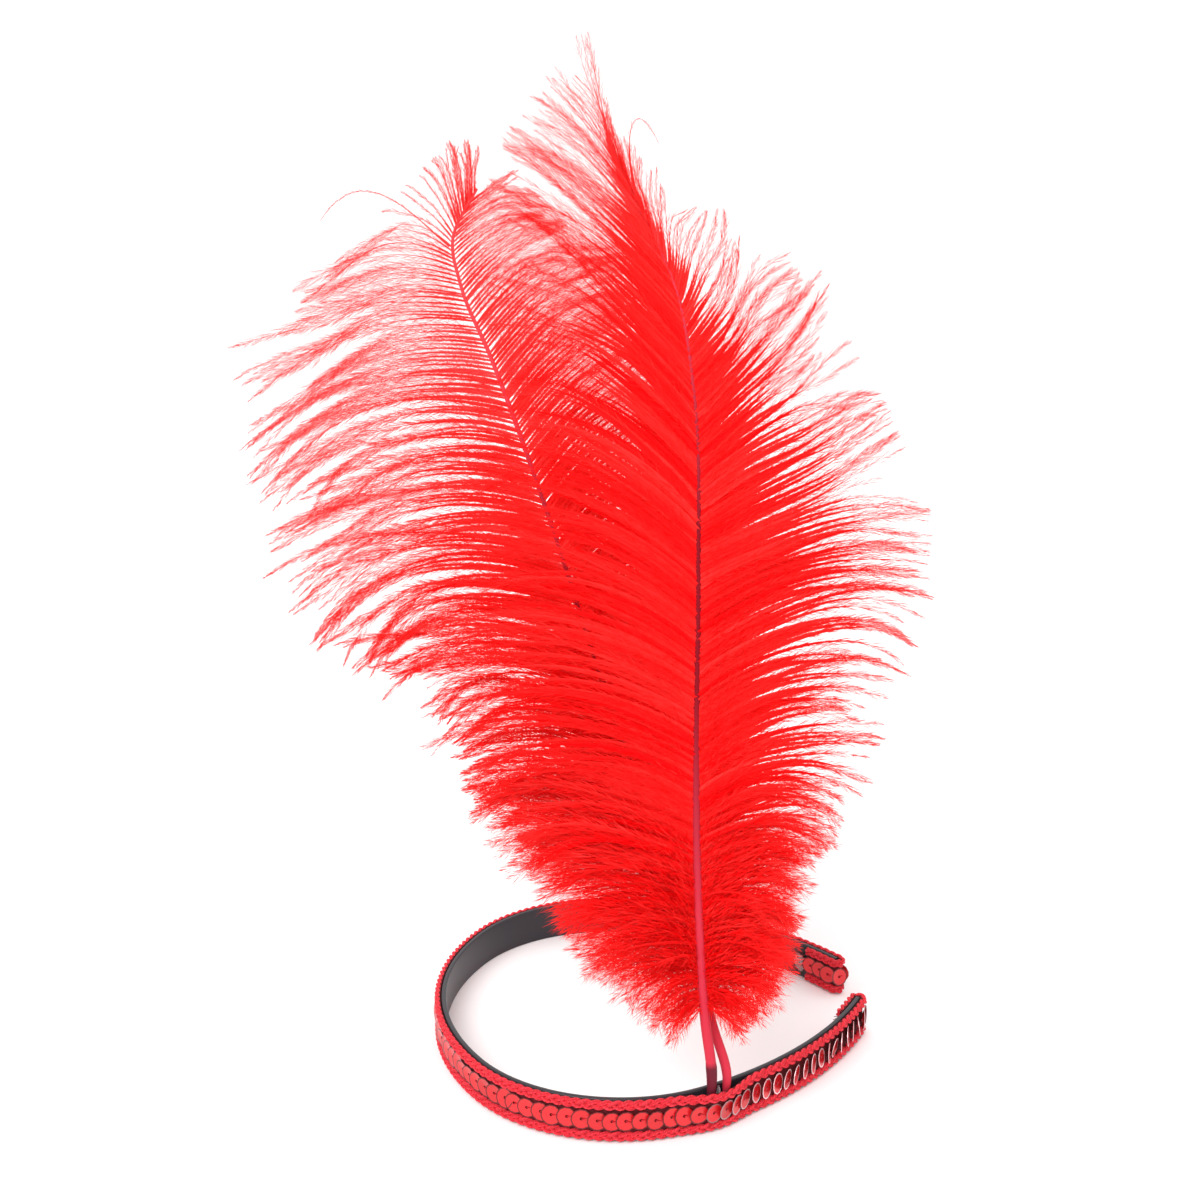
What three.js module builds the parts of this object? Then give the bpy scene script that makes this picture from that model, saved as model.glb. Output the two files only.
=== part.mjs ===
// Feather headband: a C-shaped hairband lying on its edge, covered outside with a
// sequin braid, and two ostrich plumes whose quills are tucked behind the braid.
// Millimetres, +Z up. X runs from the crown to the open ends, Y from front to back.
import * as THREE from 'three';

// Hairband: a flat strip standing on its edge, bent in three arcs each side of the crown
const BAND_WIDTH = 11.3;
const BAND_THICKNESS = 1.4;
const BAND_CHAMFER = 0.3;
const BAND_STEP = 5;
const CROWN_X = -46.1;
const CROWN_Y = 59.4;
const OPENING_TURN = THREE.MathUtils.degToRad(4.3);
const PLAN_ARCS = [
  { part: 'crown', radius: 78.5, degrees: 31 },
  { part: 'side', radius: 45.5, degrees: 83 },
  { part: 'arm', radius: 117, degrees: 34.5 },
];

// Gap kept between pieces that touch
const GAP = 0.3;

// Braid trim: a thin middle between two thick borders, folded round the band's tips,
// its top edge a little above the band's
const TRIM_LOW = 0.4;
const TRIM_HIGH = 11.6;
const TRIM_BORDER = 2.6;
const TRIM_BORDER_THICKNESS = 1.6;
const TRIM_MIDDLE_THICKNESS = 0.8;
const TRIM_RETURN = 11;
const TURN_STEPS = 6;

// Sequins: overlapping discs, each lifted at one edge over its neighbour
const SEQUIN_DIAMETER = 5.5;
const SEQUIN_PITCH = 3.8;
const SEQUIN_THICKNESS = 0.45;
const SEQUIN_LIFT = 0.9;
const SEQUIN_PROFILE = [
  { along: 0.02, height: 0.64, lift: 1.0 },
  { along: 0.42, height: 1.0, lift: 0.55 },
  { along: 0.98, height: 0.64, lift: 0.0 },
];

// Pocket: the trim bulges here over the two quill feet
const POCKET_AT = 111.5;
const POCKET_HALF_LENGTH = 13;
const POCKET_STEP = 2.6;
const POCKET_BULGE = 3.3;
const POCKET_BULGE_BELOW = 0.35;

// Quill feet: cut to a slant, so they are thin at the bottom of the pocket
const FOOT_SPACING = 4.6;
const FOOT_SLACK = 0.15;
const FOOT = [
  { z: 4.5, r: 0.6 },
  { z: 10, r: 1.0 },
  { z: 14, r: 1.2 },
];

const QUILL_SIDES = 8;
const QUILL_STEPS = 24;

// Plume shafts above the pocket: z is the height, x and y the place, r the radius
const FRONT_SHAFT = [
  { z: 30, x: 26.8, y: 5.6, r: 1.3 },
  { z: 57, x: 25.0, y: 7.9, r: 1.2 },
  { z: 100, x: 24.0, y: 12.0, r: 1.05 },
  { z: 143, x: 24.3, y: 17.0, r: 0.85 },
  { z: 188, x: 23.0, y: 23.6, r: 0.65 },
  { z: 213, x: 18.5, y: 28.6, r: 0.55 },
  { z: 236, x: 8.0, y: 33.6, r: 0.45 },
  { z: 249, x: 1.6, y: 37.0, r: 0.35 },
];
const REAR_SHAFT = [
  { z: 25, x: 29.5, y: 10.4, r: 1.25 },
  { z: 60, x: 18.7, y: 16.0, r: 1.15 },
  { z: 115, x: 0.3, y: 25.5, r: 0.95 },
  { z: 160, x: -14.6, y: 33.0, r: 0.7 },
  { z: 196, x: -27.9, y: 38.5, r: 0.55 },
  { z: 214, x: -35.5, y: 41.3, r: 0.45 },
  { z: 226, x: -37.4, y: 43.2, r: 0.4 },
  { z: 238, x: -31.3, y: 45.0, r: 0.35 },
];

// Plume vanes, a row for each barb that shapes the outline: root is its height on the shaft,
// out and up reach its tip, arch is its rise over the straight line, back its sweep to the rear
const FRONT_LEFT_BARBS = [
  { root: 34, out: 7, up: -8, arch: 1, back: 1 },
  { root: 41, out: 16, up: -7, arch: 3, back: 2 },
  { root: 51, out: 27, up: -5, arch: 4, back: 3 },
  { root: 63, out: 37, up: 0, arch: 5, back: 4 },
  { root: 78, out: 53, up: 2, arch: 7, back: 6 },
  { root: 92, out: 63, up: 4, arch: 9, back: 6 },
  { root: 105, out: 64, up: 7, arch: 9, back: 6 },
  { root: 125, out: 61, up: 13, arch: 9, back: 6 },
  { root: 150, out: 53, up: 23, arch: 8, back: 5 },
  { root: 175, out: 48, up: 31, arch: 7, back: 5 },
  { root: 200, out: 45, up: 35, arch: 5, back: 4 },
  { root: 220, out: 35, up: 29, arch: 3, back: 4 },
  { root: 236, out: 20, up: 26, arch: 2, back: 4 },
  { root: 248, out: 4, up: 26, arch: 0, back: 6 },
];
const FRONT_RIGHT_BARBS = [
  { root: 34, out: 10, up: -8, arch: 1, back: 1 },
  { root: 41, out: 17, up: -5, arch: 3, back: 2 },
  { root: 51, out: 21, up: -3, arch: 4, back: 3 },
  { root: 63, out: 25, up: 0, arch: 4, back: 4 },
  { root: 76, out: 33, up: 2, arch: 6, back: 5 },
  { root: 95, out: 44, up: 7, arch: 7, back: 6 },
  { root: 120, out: 53, up: 12, arch: 8, back: 6 },
  { root: 133, out: 54, up: 13, arch: 6, back: 6 },
  { root: 145, out: 52, up: 16, arch: 3, back: 6 },
  { root: 155, out: 45, up: 21, arch: 2, back: 5 },
  { root: 165, out: 39, up: 25, arch: 2, back: 5 },
  { root: 175, out: 34, up: 29, arch: 1, back: 5 },
  { root: 185, out: 28, up: 30, arch: 0, back: 5 },
  { root: 200, out: 17, up: 26, arch: -1, back: 4 },
  { root: 213, out: 3, up: 19, arch: 0, back: 3 },
  { root: 228, out: -5, up: 17, arch: 0, back: 3 },
  { root: 245, out: -3, up: 14, arch: 0, back: 4 },
];
const REAR_LEFT_BARBS = [
  { root: 66, out: 26, up: 0, arch: 4, back: 3 },
  { root: 80, out: 40, up: 2, arch: 6, back: 4 },
  { root: 95, out: 45, up: 2, arch: 7, back: 5 },
  { root: 107, out: 48, up: 0, arch: 8, back: 6 },
  { root: 122, out: 58, up: -6, arch: 9, back: 6 },
  { root: 138, out: 65, up: -11, arch: 9, back: 6 },
  { root: 153, out: 65, up: -13, arch: 9, back: 6 },
  { root: 168, out: 62, up: -15, arch: 9, back: 6 },
  { root: 180, out: 62, up: -17, arch: 9, back: 6 },
  { root: 191, out: 62, up: -18, arch: 8, back: 5 },
  { root: 202, out: 57, up: -18, arch: 7, back: 5 },
  { root: 210, out: 50, up: -14, arch: 6, back: 5 },
  { root: 219, out: 36, up: -4, arch: 5, back: 4 },
  { root: 223, out: 24, up: 4, arch: 4, back: 4 },
  { root: 227, out: 11, up: 12, arch: 2, back: 3 },
  { root: 232, out: 3, up: 16, arch: 1, back: 3 },
  { root: 237, out: -1, up: 12, arch: 0, back: 3 },
];
const REAR_RIGHT_BARBS = [
  { root: 78, out: 12, up: 8, arch: 3, back: 2 },
  { root: 95, out: 26, up: 13, arch: 5, back: 3 },
  { root: 120, out: 35, up: 18, arch: 6, back: 4 },
  { root: 150, out: 38, up: 22, arch: 7, back: 4 },
  { root: 175, out: 38, up: 24, arch: 7, back: 4 },
  { root: 195, out: 36, up: 22, arch: 6, back: 4 },
  { root: 211, out: 30, up: 16, arch: 5, back: 4 },
  { root: 222, out: 22, up: 10, arch: 3, back: 3 },
  { root: 235, out: 12, up: 9, arch: 0, back: 3 },
];
const VANE_CLEAR = 0.7;
const VANE_EDGE_THICKNESS = 1.2;
const VANE_BODY_THICKNESS = 3.8;
const VANE_ROWS = 24;
const VANE_COLUMNS = 6;

// Dried glue: one bead between the quill feet, one drop inside the far tip
const POCKET_GLUE = new THREE.Vector3(0.55, 0.8, 2.2);
const POCKET_GLUE_HEIGHT = 9.6;
const TIP_GLUE = new THREE.Vector3(2.2, 0.75, 2.6);
const TIP_GLUE_HEIGHT = 5.4;

const MATERIALS = {
  plastic: new THREE.MeshStandardMaterial({ color: 0x2a282c, roughness: 0.35, metalness: 0 }),
  braid: new THREE.MeshStandardMaterial({ color: 0xb0121f, roughness: 0.85, metalness: 0 }),
  sequin: new THREE.MeshStandardMaterial({ color: 0xc4101c, roughness: 0.25, metalness: 0.6 }),
  quill: new THREE.MeshStandardMaterial({ color: 0xb01525, roughness: 0.5, metalness: 0 }),
  plume: new THREE.MeshStandardMaterial({ color: 0xf01018, roughness: 0.9, metalness: 0 }),
  glue: new THREE.MeshStandardMaterial({ color: 0xd8c8c8, roughness: 0.2, metalness: 0 }),
};

// Half the band's length, from the crown to a tip
const ARM_LENGTH = PLAN_ARCS.reduce(
  (sum, arc) => sum + arc.radius * THREE.MathUtils.degToRad(arc.degrees),
  0,
);

// Place and outward direction on the band's plan at a run from the crown, positive to the front
function planAt(run) {
  const side = run < 0 ? 1 : -1;
  const place = new THREE.Vector2();
  let left = Math.abs(run);
  let heading = 0;
  for (const arc of PLAN_ARCS) {
    const step = Math.min(left, arc.radius * THREE.MathUtils.degToRad(arc.degrees));
    const angle = heading + step / arc.radius;
    place.x += arc.radius * (Math.cos(heading) - Math.cos(angle));
    place.y += side * arc.radius * (Math.sin(angle) - Math.sin(heading));
    heading = angle;
    left -= step;
  }
  const outward = new THREE.Vector2(-Math.cos(heading), side * Math.sin(heading));
  const pivot = new THREE.Vector2();
  place.rotateAround(pivot, OPENING_TURN).add(new THREE.Vector2(CROWN_X, CROWN_Y));
  return { place, outward: outward.rotateAround(pivot, OPENING_TURN), run };
}

// Even runs between two ends, no further apart than a step
function runsBetween(from, to, step) {
  const count = Math.ceil(Math.abs(to - from) / step);
  return Array.from({ length: count + 1 }, (_, i) => from + ((to - from) * i) / count);
}

// Stations from the back tip round the crown to the front tip, closer together at the pocket
function bandStations() {
  const [from, to] = [POCKET_AT - POCKET_HALF_LENGTH, POCKET_AT + POCKET_HALF_LENGTH];
  const runs = [
    ...runsBetween(-ARM_LENGTH, from, BAND_STEP).slice(0, -1),
    ...runsBetween(from, to, POCKET_STEP),
    ...runsBetween(to, ARM_LENGTH, BAND_STEP).slice(1),
  ];
  return runs.map(planAt);
}

// The trim's route: inside return, round one tip, along the outside, round the other tip, return
function trimStations() {
  const inside = (sign) => {
    const runs = runsBetween(sign * ARM_LENGTH, sign * (ARM_LENGTH - TRIM_RETURN), BAND_STEP);
    return runs.map(planAt).map((s) => ({ place: s.place, outward: s.outward.negate(), run: null }));
  };
  const turn = (sign) => {
    const tip = planAt(sign * ARM_LENGTH);
    return Array.from({ length: TURN_STEPS - 1 }, (_, i) => {
      const angle = (sign * Math.PI * (i + 1)) / TURN_STEPS;
      const outward = tip.outward.clone().rotateAround(new THREE.Vector2(), angle);
      return { place: tip.place, outward, run: null };
    });
  };
  const back = turn(-1).concat(inside(-1)).reverse();
  const front = turn(1).concat(inside(1));
  return back.concat(bandStations(), front);
}

// How far the trim bulges from the band at a distance from the crown, most along its top edge
function bulge(run, height) {
  const t = run === null ? 1 : Math.abs(run - POCKET_AT) / POCKET_HALF_LENGTH;
  const share = POCKET_BULGE_BELOW + ((1 - POCKET_BULGE_BELOW) * height) / TRIM_HIGH;
  return t < 1 ? POCKET_BULGE * share * 0.5 * (1 + Math.cos(Math.PI * t)) : 0;
}

// A closed solid through rings of the same number of points, with a cap at each end
function loft(rings) {
  const size = rings[0].length;
  const points = rings.flat();
  const index = [];
  for (let i = 0; i + 1 < rings.length; i += 1) {
    for (let j = 0; j < size; j += 1) {
      const a = i * size + j;
      const b = i * size + ((j + 1) % size);
      index.push(a, b, a + size, b, b + size, a + size);
    }
  }
  const faces = (ring) => THREE.ShapeUtils.triangulateShape(flatten(ring), []);
  const last = (rings.length - 1) * size;
  for (const [a, b, c] of faces(rings[0])) index.push(a, c, b);
  for (const [a, b, c] of faces(rings[rings.length - 1])) index.push(last + a, last + b, last + c);
  const geometry = new THREE.BufferGeometry().setFromPoints(points);
  geometry.setIndex(index);
  geometry.computeVertexNormals();
  return geometry;
}

// A ring's points in its own plane
function flatten(ring) {
  const normal = new THREE.Vector3();
  ring.forEach((p, i) => normal.add(p.clone().cross(ring[(i + 1) % ring.length])));
  const turn = new THREE.Quaternion().setFromUnitVectors(normal.normalize(), new THREE.Vector3(0, 0, 1));
  return ring.map((p) => {
    const q = p.clone().applyQuaternion(turn);
    return new THREE.Vector2(q.x, q.y);
  });
}

// A point at a distance outward from a plan station and a height
function onStation(station, outward, height) {
  const p = station.place.clone().addScaledVector(station.outward, outward);
  return new THREE.Vector3(p.x, p.y, height);
}

function bandGeometry() {
  const half = BAND_THICKNESS / 2;
  const c = BAND_CHAMFER;
  const top = BAND_WIDTH;
  const outline = [
    [c - half, 0], [-half, c], [-half, top - c], [c - half, top],
    [half - c, top], [half, top - c], [half, c], [half - c, 0],
  ];
  return loft(bandStations().map((s) => outline.map(([out, z]) => onStation(s, out, z))));
}

function trimGeometry() {
  const inner = BAND_THICKNESS / 2 + GAP;
  const border = inner + TRIM_BORDER_THICKNESS;
  const middle = inner + TRIM_MIDDLE_THICKNESS;
  const low = TRIM_LOW;
  const high = TRIM_HIGH;
  const round = TRIM_BORDER_THICKNESS / 3;
  const outline = [
    [inner, low], [inner, high], [border - round, high], [border, high - round],
    [border, high - TRIM_BORDER + round], [middle, high - TRIM_BORDER],
    [middle, low + TRIM_BORDER], [border, low + TRIM_BORDER - round],
    [border, low + round], [border - round, low],
  ];
  return loft(trimStations().map((s) => (
    outline.map(([out, z]) => onStation(s, out + bulge(s.run, z), z))
  )));
}

// The sequin strip: a step for each disc, widest at its middle and highest at its lifted edge
function sequinGeometry() {
  const base = BAND_THICKNESS / 2 + GAP + TRIM_MIDDLE_THICKNESS + GAP;
  const middle = (TRIM_LOW + TRIM_HIGH) / 2;
  const stations = trimStations();
  const at = stations.map((s) => onStation(s, base + bulge(s.run, middle), middle));
  const runs = [0];
  for (let i = 1; i < at.length; i += 1) runs.push(runs[i - 1] + at[i].distanceTo(at[i - 1]));
  const sample = (run) => {
    const i = Math.min(at.length - 1, Math.max(1, runs.findIndex((r) => r >= run)));
    const t = (run - runs[i - 1]) / (runs[i] - runs[i - 1]);
    const [a, b] = [stations[i - 1], stations[i]];
    return (out, z) => {
      const p = onStation(a, out + bulge(a.run, z), z);
      return p.lerp(onStation(b, out + bulge(b.run, z), z), t);
    };
  };
  const count = Math.floor(runs[runs.length - 1] / SEQUIN_PITCH);
  const rings = [];
  for (let i = 0; i < count; i += 1) {
    for (const row of SEQUIN_PROFILE) {
      const point = sample((i + row.along) * SEQUIN_PITCH);
      const half = (row.height * SEQUIN_DIAMETER) / 2;
      const top = base + SEQUIN_THICKNESS + SEQUIN_LIFT * row.lift;
      const outline = [[base, -half], [base, half], [top, half], [top, -half]];
      rings.push(outline.map(([out, rise]) => point(out, middle + rise)));
    }
  }
  return loft(rings);
}

// A quill's centre line from its foot in the pocket up through the shaft's table
function shaftCurve(footRun, shaft) {
  const station = planAt(footRun);
  const points = FOOT.map(({ z, r }) => onStation(station, BAND_THICKNESS / 2 + GAP + FOOT_SLACK + r, z));
  for (const row of shaft) points.push(new THREE.Vector3(row.x, row.y, row.z));
  return new THREE.CatmullRomCurve3(points, false, 'centripetal');
}

// Radius of a shaft at a height
function shaftRadius(shaft, z) {
  return interpolate([...FOOT, ...shaft], 'z', z, 'r');
}

// Linear reading of a table's column at a value of another column
function interpolate(rows, key, value, column) {
  const i = rows.findIndex((row) => row[key] >= value);
  if (i === -1) return rows[rows.length - 1][column];
  if (i === 0) return rows[0][column];
  const a = rows[i - 1];
  const b = rows[i];
  return THREE.MathUtils.mapLinear(value, a[key], b[key], a[column], b[column]);
}

function quillGeometry(curve, shaft) {
  const rings = [];
  for (let i = 0; i <= QUILL_STEPS; i += 1) {
    const p = curve.getPointAt(i / QUILL_STEPS);
    const tangent = curve.getTangentAt(i / QUILL_STEPS);
    const side = new THREE.Vector3(0, 1, 0).cross(tangent).normalize();
    const face = tangent.clone().cross(side);
    const r = shaftRadius(shaft, p.z);
    const ring = [];
    for (let j = 0; j < QUILL_SIDES; j += 1) {
      const angle = (2 * Math.PI * j) / QUILL_SIDES;
      const q = p.clone().addScaledVector(side, r * Math.cos(angle));
      ring.push(q.addScaledVector(face, r * Math.sin(angle)));
    }
    rings.push(ring);
  }
  return loft(rings);
}

// Point on a shaft's centre line at a height, with the direction across the shaft
function shaftAt(curve, z) {
  let low = 0;
  let high = 1;
  for (let i = 0; i < 30; i += 1) {
    const mid = (low + high) / 2;
    if (curve.getPointAt(mid).z < z) low = mid;
    else high = mid;
  }
  const tangent = curve.getTangentAt(low);
  return { place: curve.getPointAt(low), across: new THREE.Vector3(0, 1, 0).cross(tangent).normalize() };
}

// A smooth reading of the barb table at a height on the shaft
function barbAt(barbs, root) {
  const place = (column) => {
    const i = Math.min(barbs.length - 2, Math.max(0, barbs.findIndex((b) => b.root >= root) - 1));
    const t = (root - barbs[i].root) / (barbs[i + 1].root - barbs[i].root);
    const at = (k) => barbs[Math.min(barbs.length - 1, Math.max(0, k))][column];
    const [p0, p1, p2, p3] = [at(i - 1), at(i), at(i + 1), at(i + 2)];
    const bend = (2 * p0 - 5 * p1 + 4 * p2 - p3) * t * t + (3 * p1 - p0 - 3 * p2 + p3) * t * t * t;
    return p1 + 0.5 * ((p2 - p0) * t + bend);
  };
  return { out: place('out'), up: place('up'), arch: place('arch'), back: place('back') };
}

// A vane: the outer form of the barbs on one side of a shaft, as thick in the middle as they puff
function vaneGeometry(curve, shaft, barbs, side) {
  const first = barbs[0].root;
  const last = barbs[barbs.length - 1].root;
  const rings = [];
  for (let i = 0; i <= VANE_ROWS; i += 1) {
    const root = first + ((last - first) * i) / VANE_ROWS;
    const { place, across } = shaftAt(curve, root);
    const barb = barbAt(barbs, root);
    const clear = shaftRadius(shaft, root) + VANE_CLEAR;
    const start = place.clone().addScaledVector(across, side * clear);
    const front = [];
    const rear = [];
    for (let j = 0; j <= VANE_COLUMNS; j += 1) {
      const u = j / VANE_COLUMNS;
      const rise = barb.up * u + 4 * barb.arch * u * (1 - u);
      const p = new THREE.Vector3(side * barb.out * u, barb.back * u * u, rise).add(start);
      const puff = Math.sin(Math.PI * (0.1 + 0.9 * u));
      const half = (VANE_EDGE_THICKNESS + VANE_BODY_THICKNESS * puff) / 2;
      front.push(p.clone().add(new THREE.Vector3(0, -half, 0)));
      rear.unshift(p.clone().add(new THREE.Vector3(0, half, 0)));
    }
    const ring = front.concat(rear);
    rings.push(side > 0 ? ring : ring.reverse());
  }
  return loft(rings);
}

function glueGeometry(size, place, heading) {
  const geometry = new THREE.SphereGeometry(1, 10, 6);
  geometry.scale(size.x, size.y, size.z);
  geometry.rotateZ(heading);
  geometry.translate(place.x, place.y, place.z);
  return geometry;
}

const assembly = new THREE.Group();

function addPiece(name, geometry, material) {
  const mesh = new THREE.Mesh(geometry, material);
  mesh.name = name;
  assembly.add(mesh);
}

const frontFoot = POCKET_AT - FOOT_SPACING / 2;
const rearFoot = POCKET_AT + FOOT_SPACING / 2;
const frontCurve = shaftCurve(frontFoot, FRONT_SHAFT);
const rearCurve = shaftCurve(rearFoot, REAR_SHAFT);

addPiece('band', bandGeometry(), MATERIALS.plastic);
addPiece('trim', trimGeometry(), MATERIALS.braid);
addPiece('sequins', sequinGeometry(), MATERIALS.sequin);
addPiece('quill_front', quillGeometry(frontCurve, FRONT_SHAFT), MATERIALS.quill);
addPiece('quill_rear', quillGeometry(rearCurve, REAR_SHAFT), MATERIALS.quill);
const VANES = [
  { name: 'vane_front_left', curve: frontCurve, shaft: FRONT_SHAFT, barbs: FRONT_LEFT_BARBS, side: -1 },
  { name: 'vane_front_right', curve: frontCurve, shaft: FRONT_SHAFT, barbs: FRONT_RIGHT_BARBS, side: 1 },
  { name: 'vane_rear_left', curve: rearCurve, shaft: REAR_SHAFT, barbs: REAR_LEFT_BARBS, side: -1 },
  { name: 'vane_rear_right', curve: rearCurve, shaft: REAR_SHAFT, barbs: REAR_RIGHT_BARBS, side: 1 },
];
for (const v of VANES) {
  addPiece(v.name, vaneGeometry(v.curve, v.shaft, v.barbs, v.side), MATERIALS.plume);
}

const pocket = planAt(POCKET_AT);
const pocketHeading = Math.atan2(pocket.outward.x, -pocket.outward.y);
const pocketPlace = onStation(pocket, BAND_THICKNESS / 2 + 2 * GAP + POCKET_GLUE.y, POCKET_GLUE_HEIGHT);
addPiece('glue_pocket', glueGeometry(POCKET_GLUE, pocketPlace, pocketHeading), MATERIALS.glue);

const tipStation = planAt(-(ARM_LENGTH - TRIM_RETURN - TIP_GLUE.x - 2 * GAP));
const tipHeading = Math.atan2(tipStation.outward.x, -tipStation.outward.y);
const tipPlace = onStation(tipStation, -(BAND_THICKNESS / 2 + GAP + TIP_GLUE.y), TIP_GLUE_HEIGHT);
addPiece('glue_tip', glueGeometry(TIP_GLUE, tipPlace, tipHeading), MATERIALS.glue);

// Origin at the middle of the bottom of the whole part
const bounds = new THREE.Box3().setFromObject(assembly);
const centre = bounds.getCenter(new THREE.Vector3());
assembly.position.set(-centre.x, -centre.y, -bounds.min.z);

const headband = new THREE.Group();
headband.add(assembly);

export default headband;
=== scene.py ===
"""Feather headband: the finish of the band, yarns, sequins and plume strands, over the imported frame."""
import logging
import math
from dataclasses import dataclass, fields
from enum import Enum

import bpy
import numpy as np
from bpy.types import GeometryNodeTree, Material, Mesh, Node, NodeTree, Object, bpy_prop_collection
from bpy.types import NodeSocket as Socket
from mathutils import Euler, Matrix, Vector


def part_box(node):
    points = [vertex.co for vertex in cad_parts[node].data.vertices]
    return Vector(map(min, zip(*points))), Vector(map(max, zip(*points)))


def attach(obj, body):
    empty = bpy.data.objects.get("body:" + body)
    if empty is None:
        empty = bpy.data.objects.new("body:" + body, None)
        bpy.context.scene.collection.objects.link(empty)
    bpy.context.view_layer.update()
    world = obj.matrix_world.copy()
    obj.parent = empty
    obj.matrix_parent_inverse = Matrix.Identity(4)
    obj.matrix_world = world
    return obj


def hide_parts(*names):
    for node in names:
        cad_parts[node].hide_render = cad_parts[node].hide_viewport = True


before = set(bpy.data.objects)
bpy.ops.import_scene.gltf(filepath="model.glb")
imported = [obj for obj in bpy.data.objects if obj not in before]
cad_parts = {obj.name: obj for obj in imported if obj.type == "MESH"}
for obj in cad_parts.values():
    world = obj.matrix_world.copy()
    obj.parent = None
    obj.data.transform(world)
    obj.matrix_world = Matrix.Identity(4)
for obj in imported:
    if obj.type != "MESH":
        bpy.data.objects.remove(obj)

LOG = logging.getLogger("headband")
MM = 0.001
TURN = 2 * math.pi
BODY = "root"
Colour = tuple[float, float, float]
Point = tuple[float, float, float]


def unit(vectors: np.ndarray) -> np.ndarray:
    """Bring vectors to a length of one."""
    return vectors / np.linalg.norm(vectors, axis=-1, keepdims=True)


def ramp(values: np.ndarray, start: float, over: float) -> np.ndarray:
    """Rise evenly from 0 at the start to 1 after a length, going down where the length is negative."""
    return np.clip((values - start) / over, 0, 1)


class Side(Enum):
    """The side of a shaft that a vane grows on, as seen from the front."""

    LEFT = -1
    RIGHT = 1


class Border(Enum):
    """The trim's two thick edges."""

    LOWER = "lower"
    UPPER = "upper"


class Table:
    """Rows of named columns, read smoothly between the rows."""

    def __init__(self, rows: tuple, key: str) -> None:
        """Keep the rows as arrays.

        Args:
            rows: Dataclass rows in rising order of the key.
            key: The column that the others are read by.
        """
        names = [f.name for f in fields(rows[0])]
        self.keys = np.array([getattr(row, key) for row in rows], float)
        self.columns = {n: np.array([getattr(row, n) for row in rows], float) for n in names}

    def read(self, column: str, values: np.ndarray) -> np.ndarray:
        """Read one column by a cubic curve through its rows.

        Args:
            column: The column's name.
            values: Values of the key.

        Returns:
            The column at those values, held level past the ends.
        """
        k = self.keys
        c = self.columns[column]
        slope = np.gradient(c, k)
        v = np.clip(values, k[0], k[-1])
        i = np.clip(np.searchsorted(k, v) - 1, 0, len(k) - 2)
        h = k[i + 1] - k[i]
        t = (v - k[i]) / h
        first = (1 + 2 * t) * (1 - t) ** 2 * c[i] + t * (1 - t) ** 2 * h * slope[i]
        return first + t**2 * (3 - 2 * t) * c[i + 1] + t**2 * (t - 1) * h * slope[i + 1]


@dataclass(frozen=True)
class Arc:
    """One arc of the band's plan: radius in mm, sweep in degrees."""

    radius: float
    degrees: float

    @property
    def length(self) -> float:
        """Length along the arc in mm."""
        return self.radius * math.radians(self.degrees)


@dataclass(frozen=True)
class BandPlan:
    """The hairband's bend seen from above, in mm and degrees, the same arcs on both sides of the crown."""

    arcs: tuple[Arc, ...] = (Arc(78.5, 31.0), Arc(45.5, 83.0), Arc(117.0, 34.5))
    crown: tuple[float, float] = (-46.1, 59.4)
    turn: float = 4.3
    width: float = 11.3
    thickness: float = 1.4
    stations: int = 2001

    @property
    def arm(self) -> float:
        """Length from the crown to a tip."""
        return sum(arc.length for arc in self.arcs)

    def at(self, runs: np.ndarray) -> tuple[np.ndarray, np.ndarray]:
        """Find places along the band.

        Args:
            runs: Distances from the crown, positive to the front arm.

        Returns:
            Plan places on the middle of the wall, and outward directions.
        """
        side = np.where(runs < 0, 1.0, -1.0)
        left = np.abs(runs)
        heading = np.zeros_like(left)
        place = np.zeros((len(left), 2))
        for arc in self.arcs:
            step = np.minimum(left, arc.length)
            angle = heading + step / arc.radius
            place[:, 0] += arc.radius * (np.cos(heading) - np.cos(angle))
            place[:, 1] += side * arc.radius * (np.sin(angle) - np.sin(heading))
            heading = angle
            left = left - step
        outward = np.stack([-np.cos(heading), side * np.sin(heading)], axis=1)
        turn = math.radians(self.turn)
        spin = np.array([[math.cos(turn), math.sin(turn)], [-math.sin(turn), math.cos(turn)]])
        return place @ spin + np.array(self.crown), outward @ spin

    def shift(self) -> np.ndarray:
        """Find the move from plan places to the row frame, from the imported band's box.

        Returns:
            The move in mm, with no rise.
        """
        place, outward = self.at(np.linspace(-self.arm, self.arm, self.stations))
        half = self.thickness / 2
        edges = np.vstack([place + outward * half, place - outward * half])
        low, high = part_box("band")
        middle = (np.array(low) + np.array(high))[:2] / (2 * MM)
        return np.append(middle - (edges.min(0) + edges.max(0)) / 2, 0.0)


@dataclass(frozen=True)
class Pocket:
    """Where the trim bulges over the two quill feet, in mm along the front arm."""

    at: float = 111.5
    half_length: float = 13.0
    top: float = 11.6
    bulge: float = 3.3
    below: float = 0.35

    def push(self, runs: np.ndarray, heights: np.ndarray) -> np.ndarray:
        """Work out how far the trim stands off the band.

        Args:
            runs: Distances from the crown, not a number on the inside returns.
            heights: Heights on the trim, one for each run.

        Returns:
            Distances outward.
        """
        t = np.nan_to_num(np.abs(runs - self.at) / self.half_length, nan=1.0)
        share = self.below + (1 - self.below) * heights / self.top
        hump = 0.5 * (1 + np.cos(np.pi * np.minimum(t, 1)))
        return np.where(t < 1, self.bulge * share * hump, 0.0)


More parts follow.
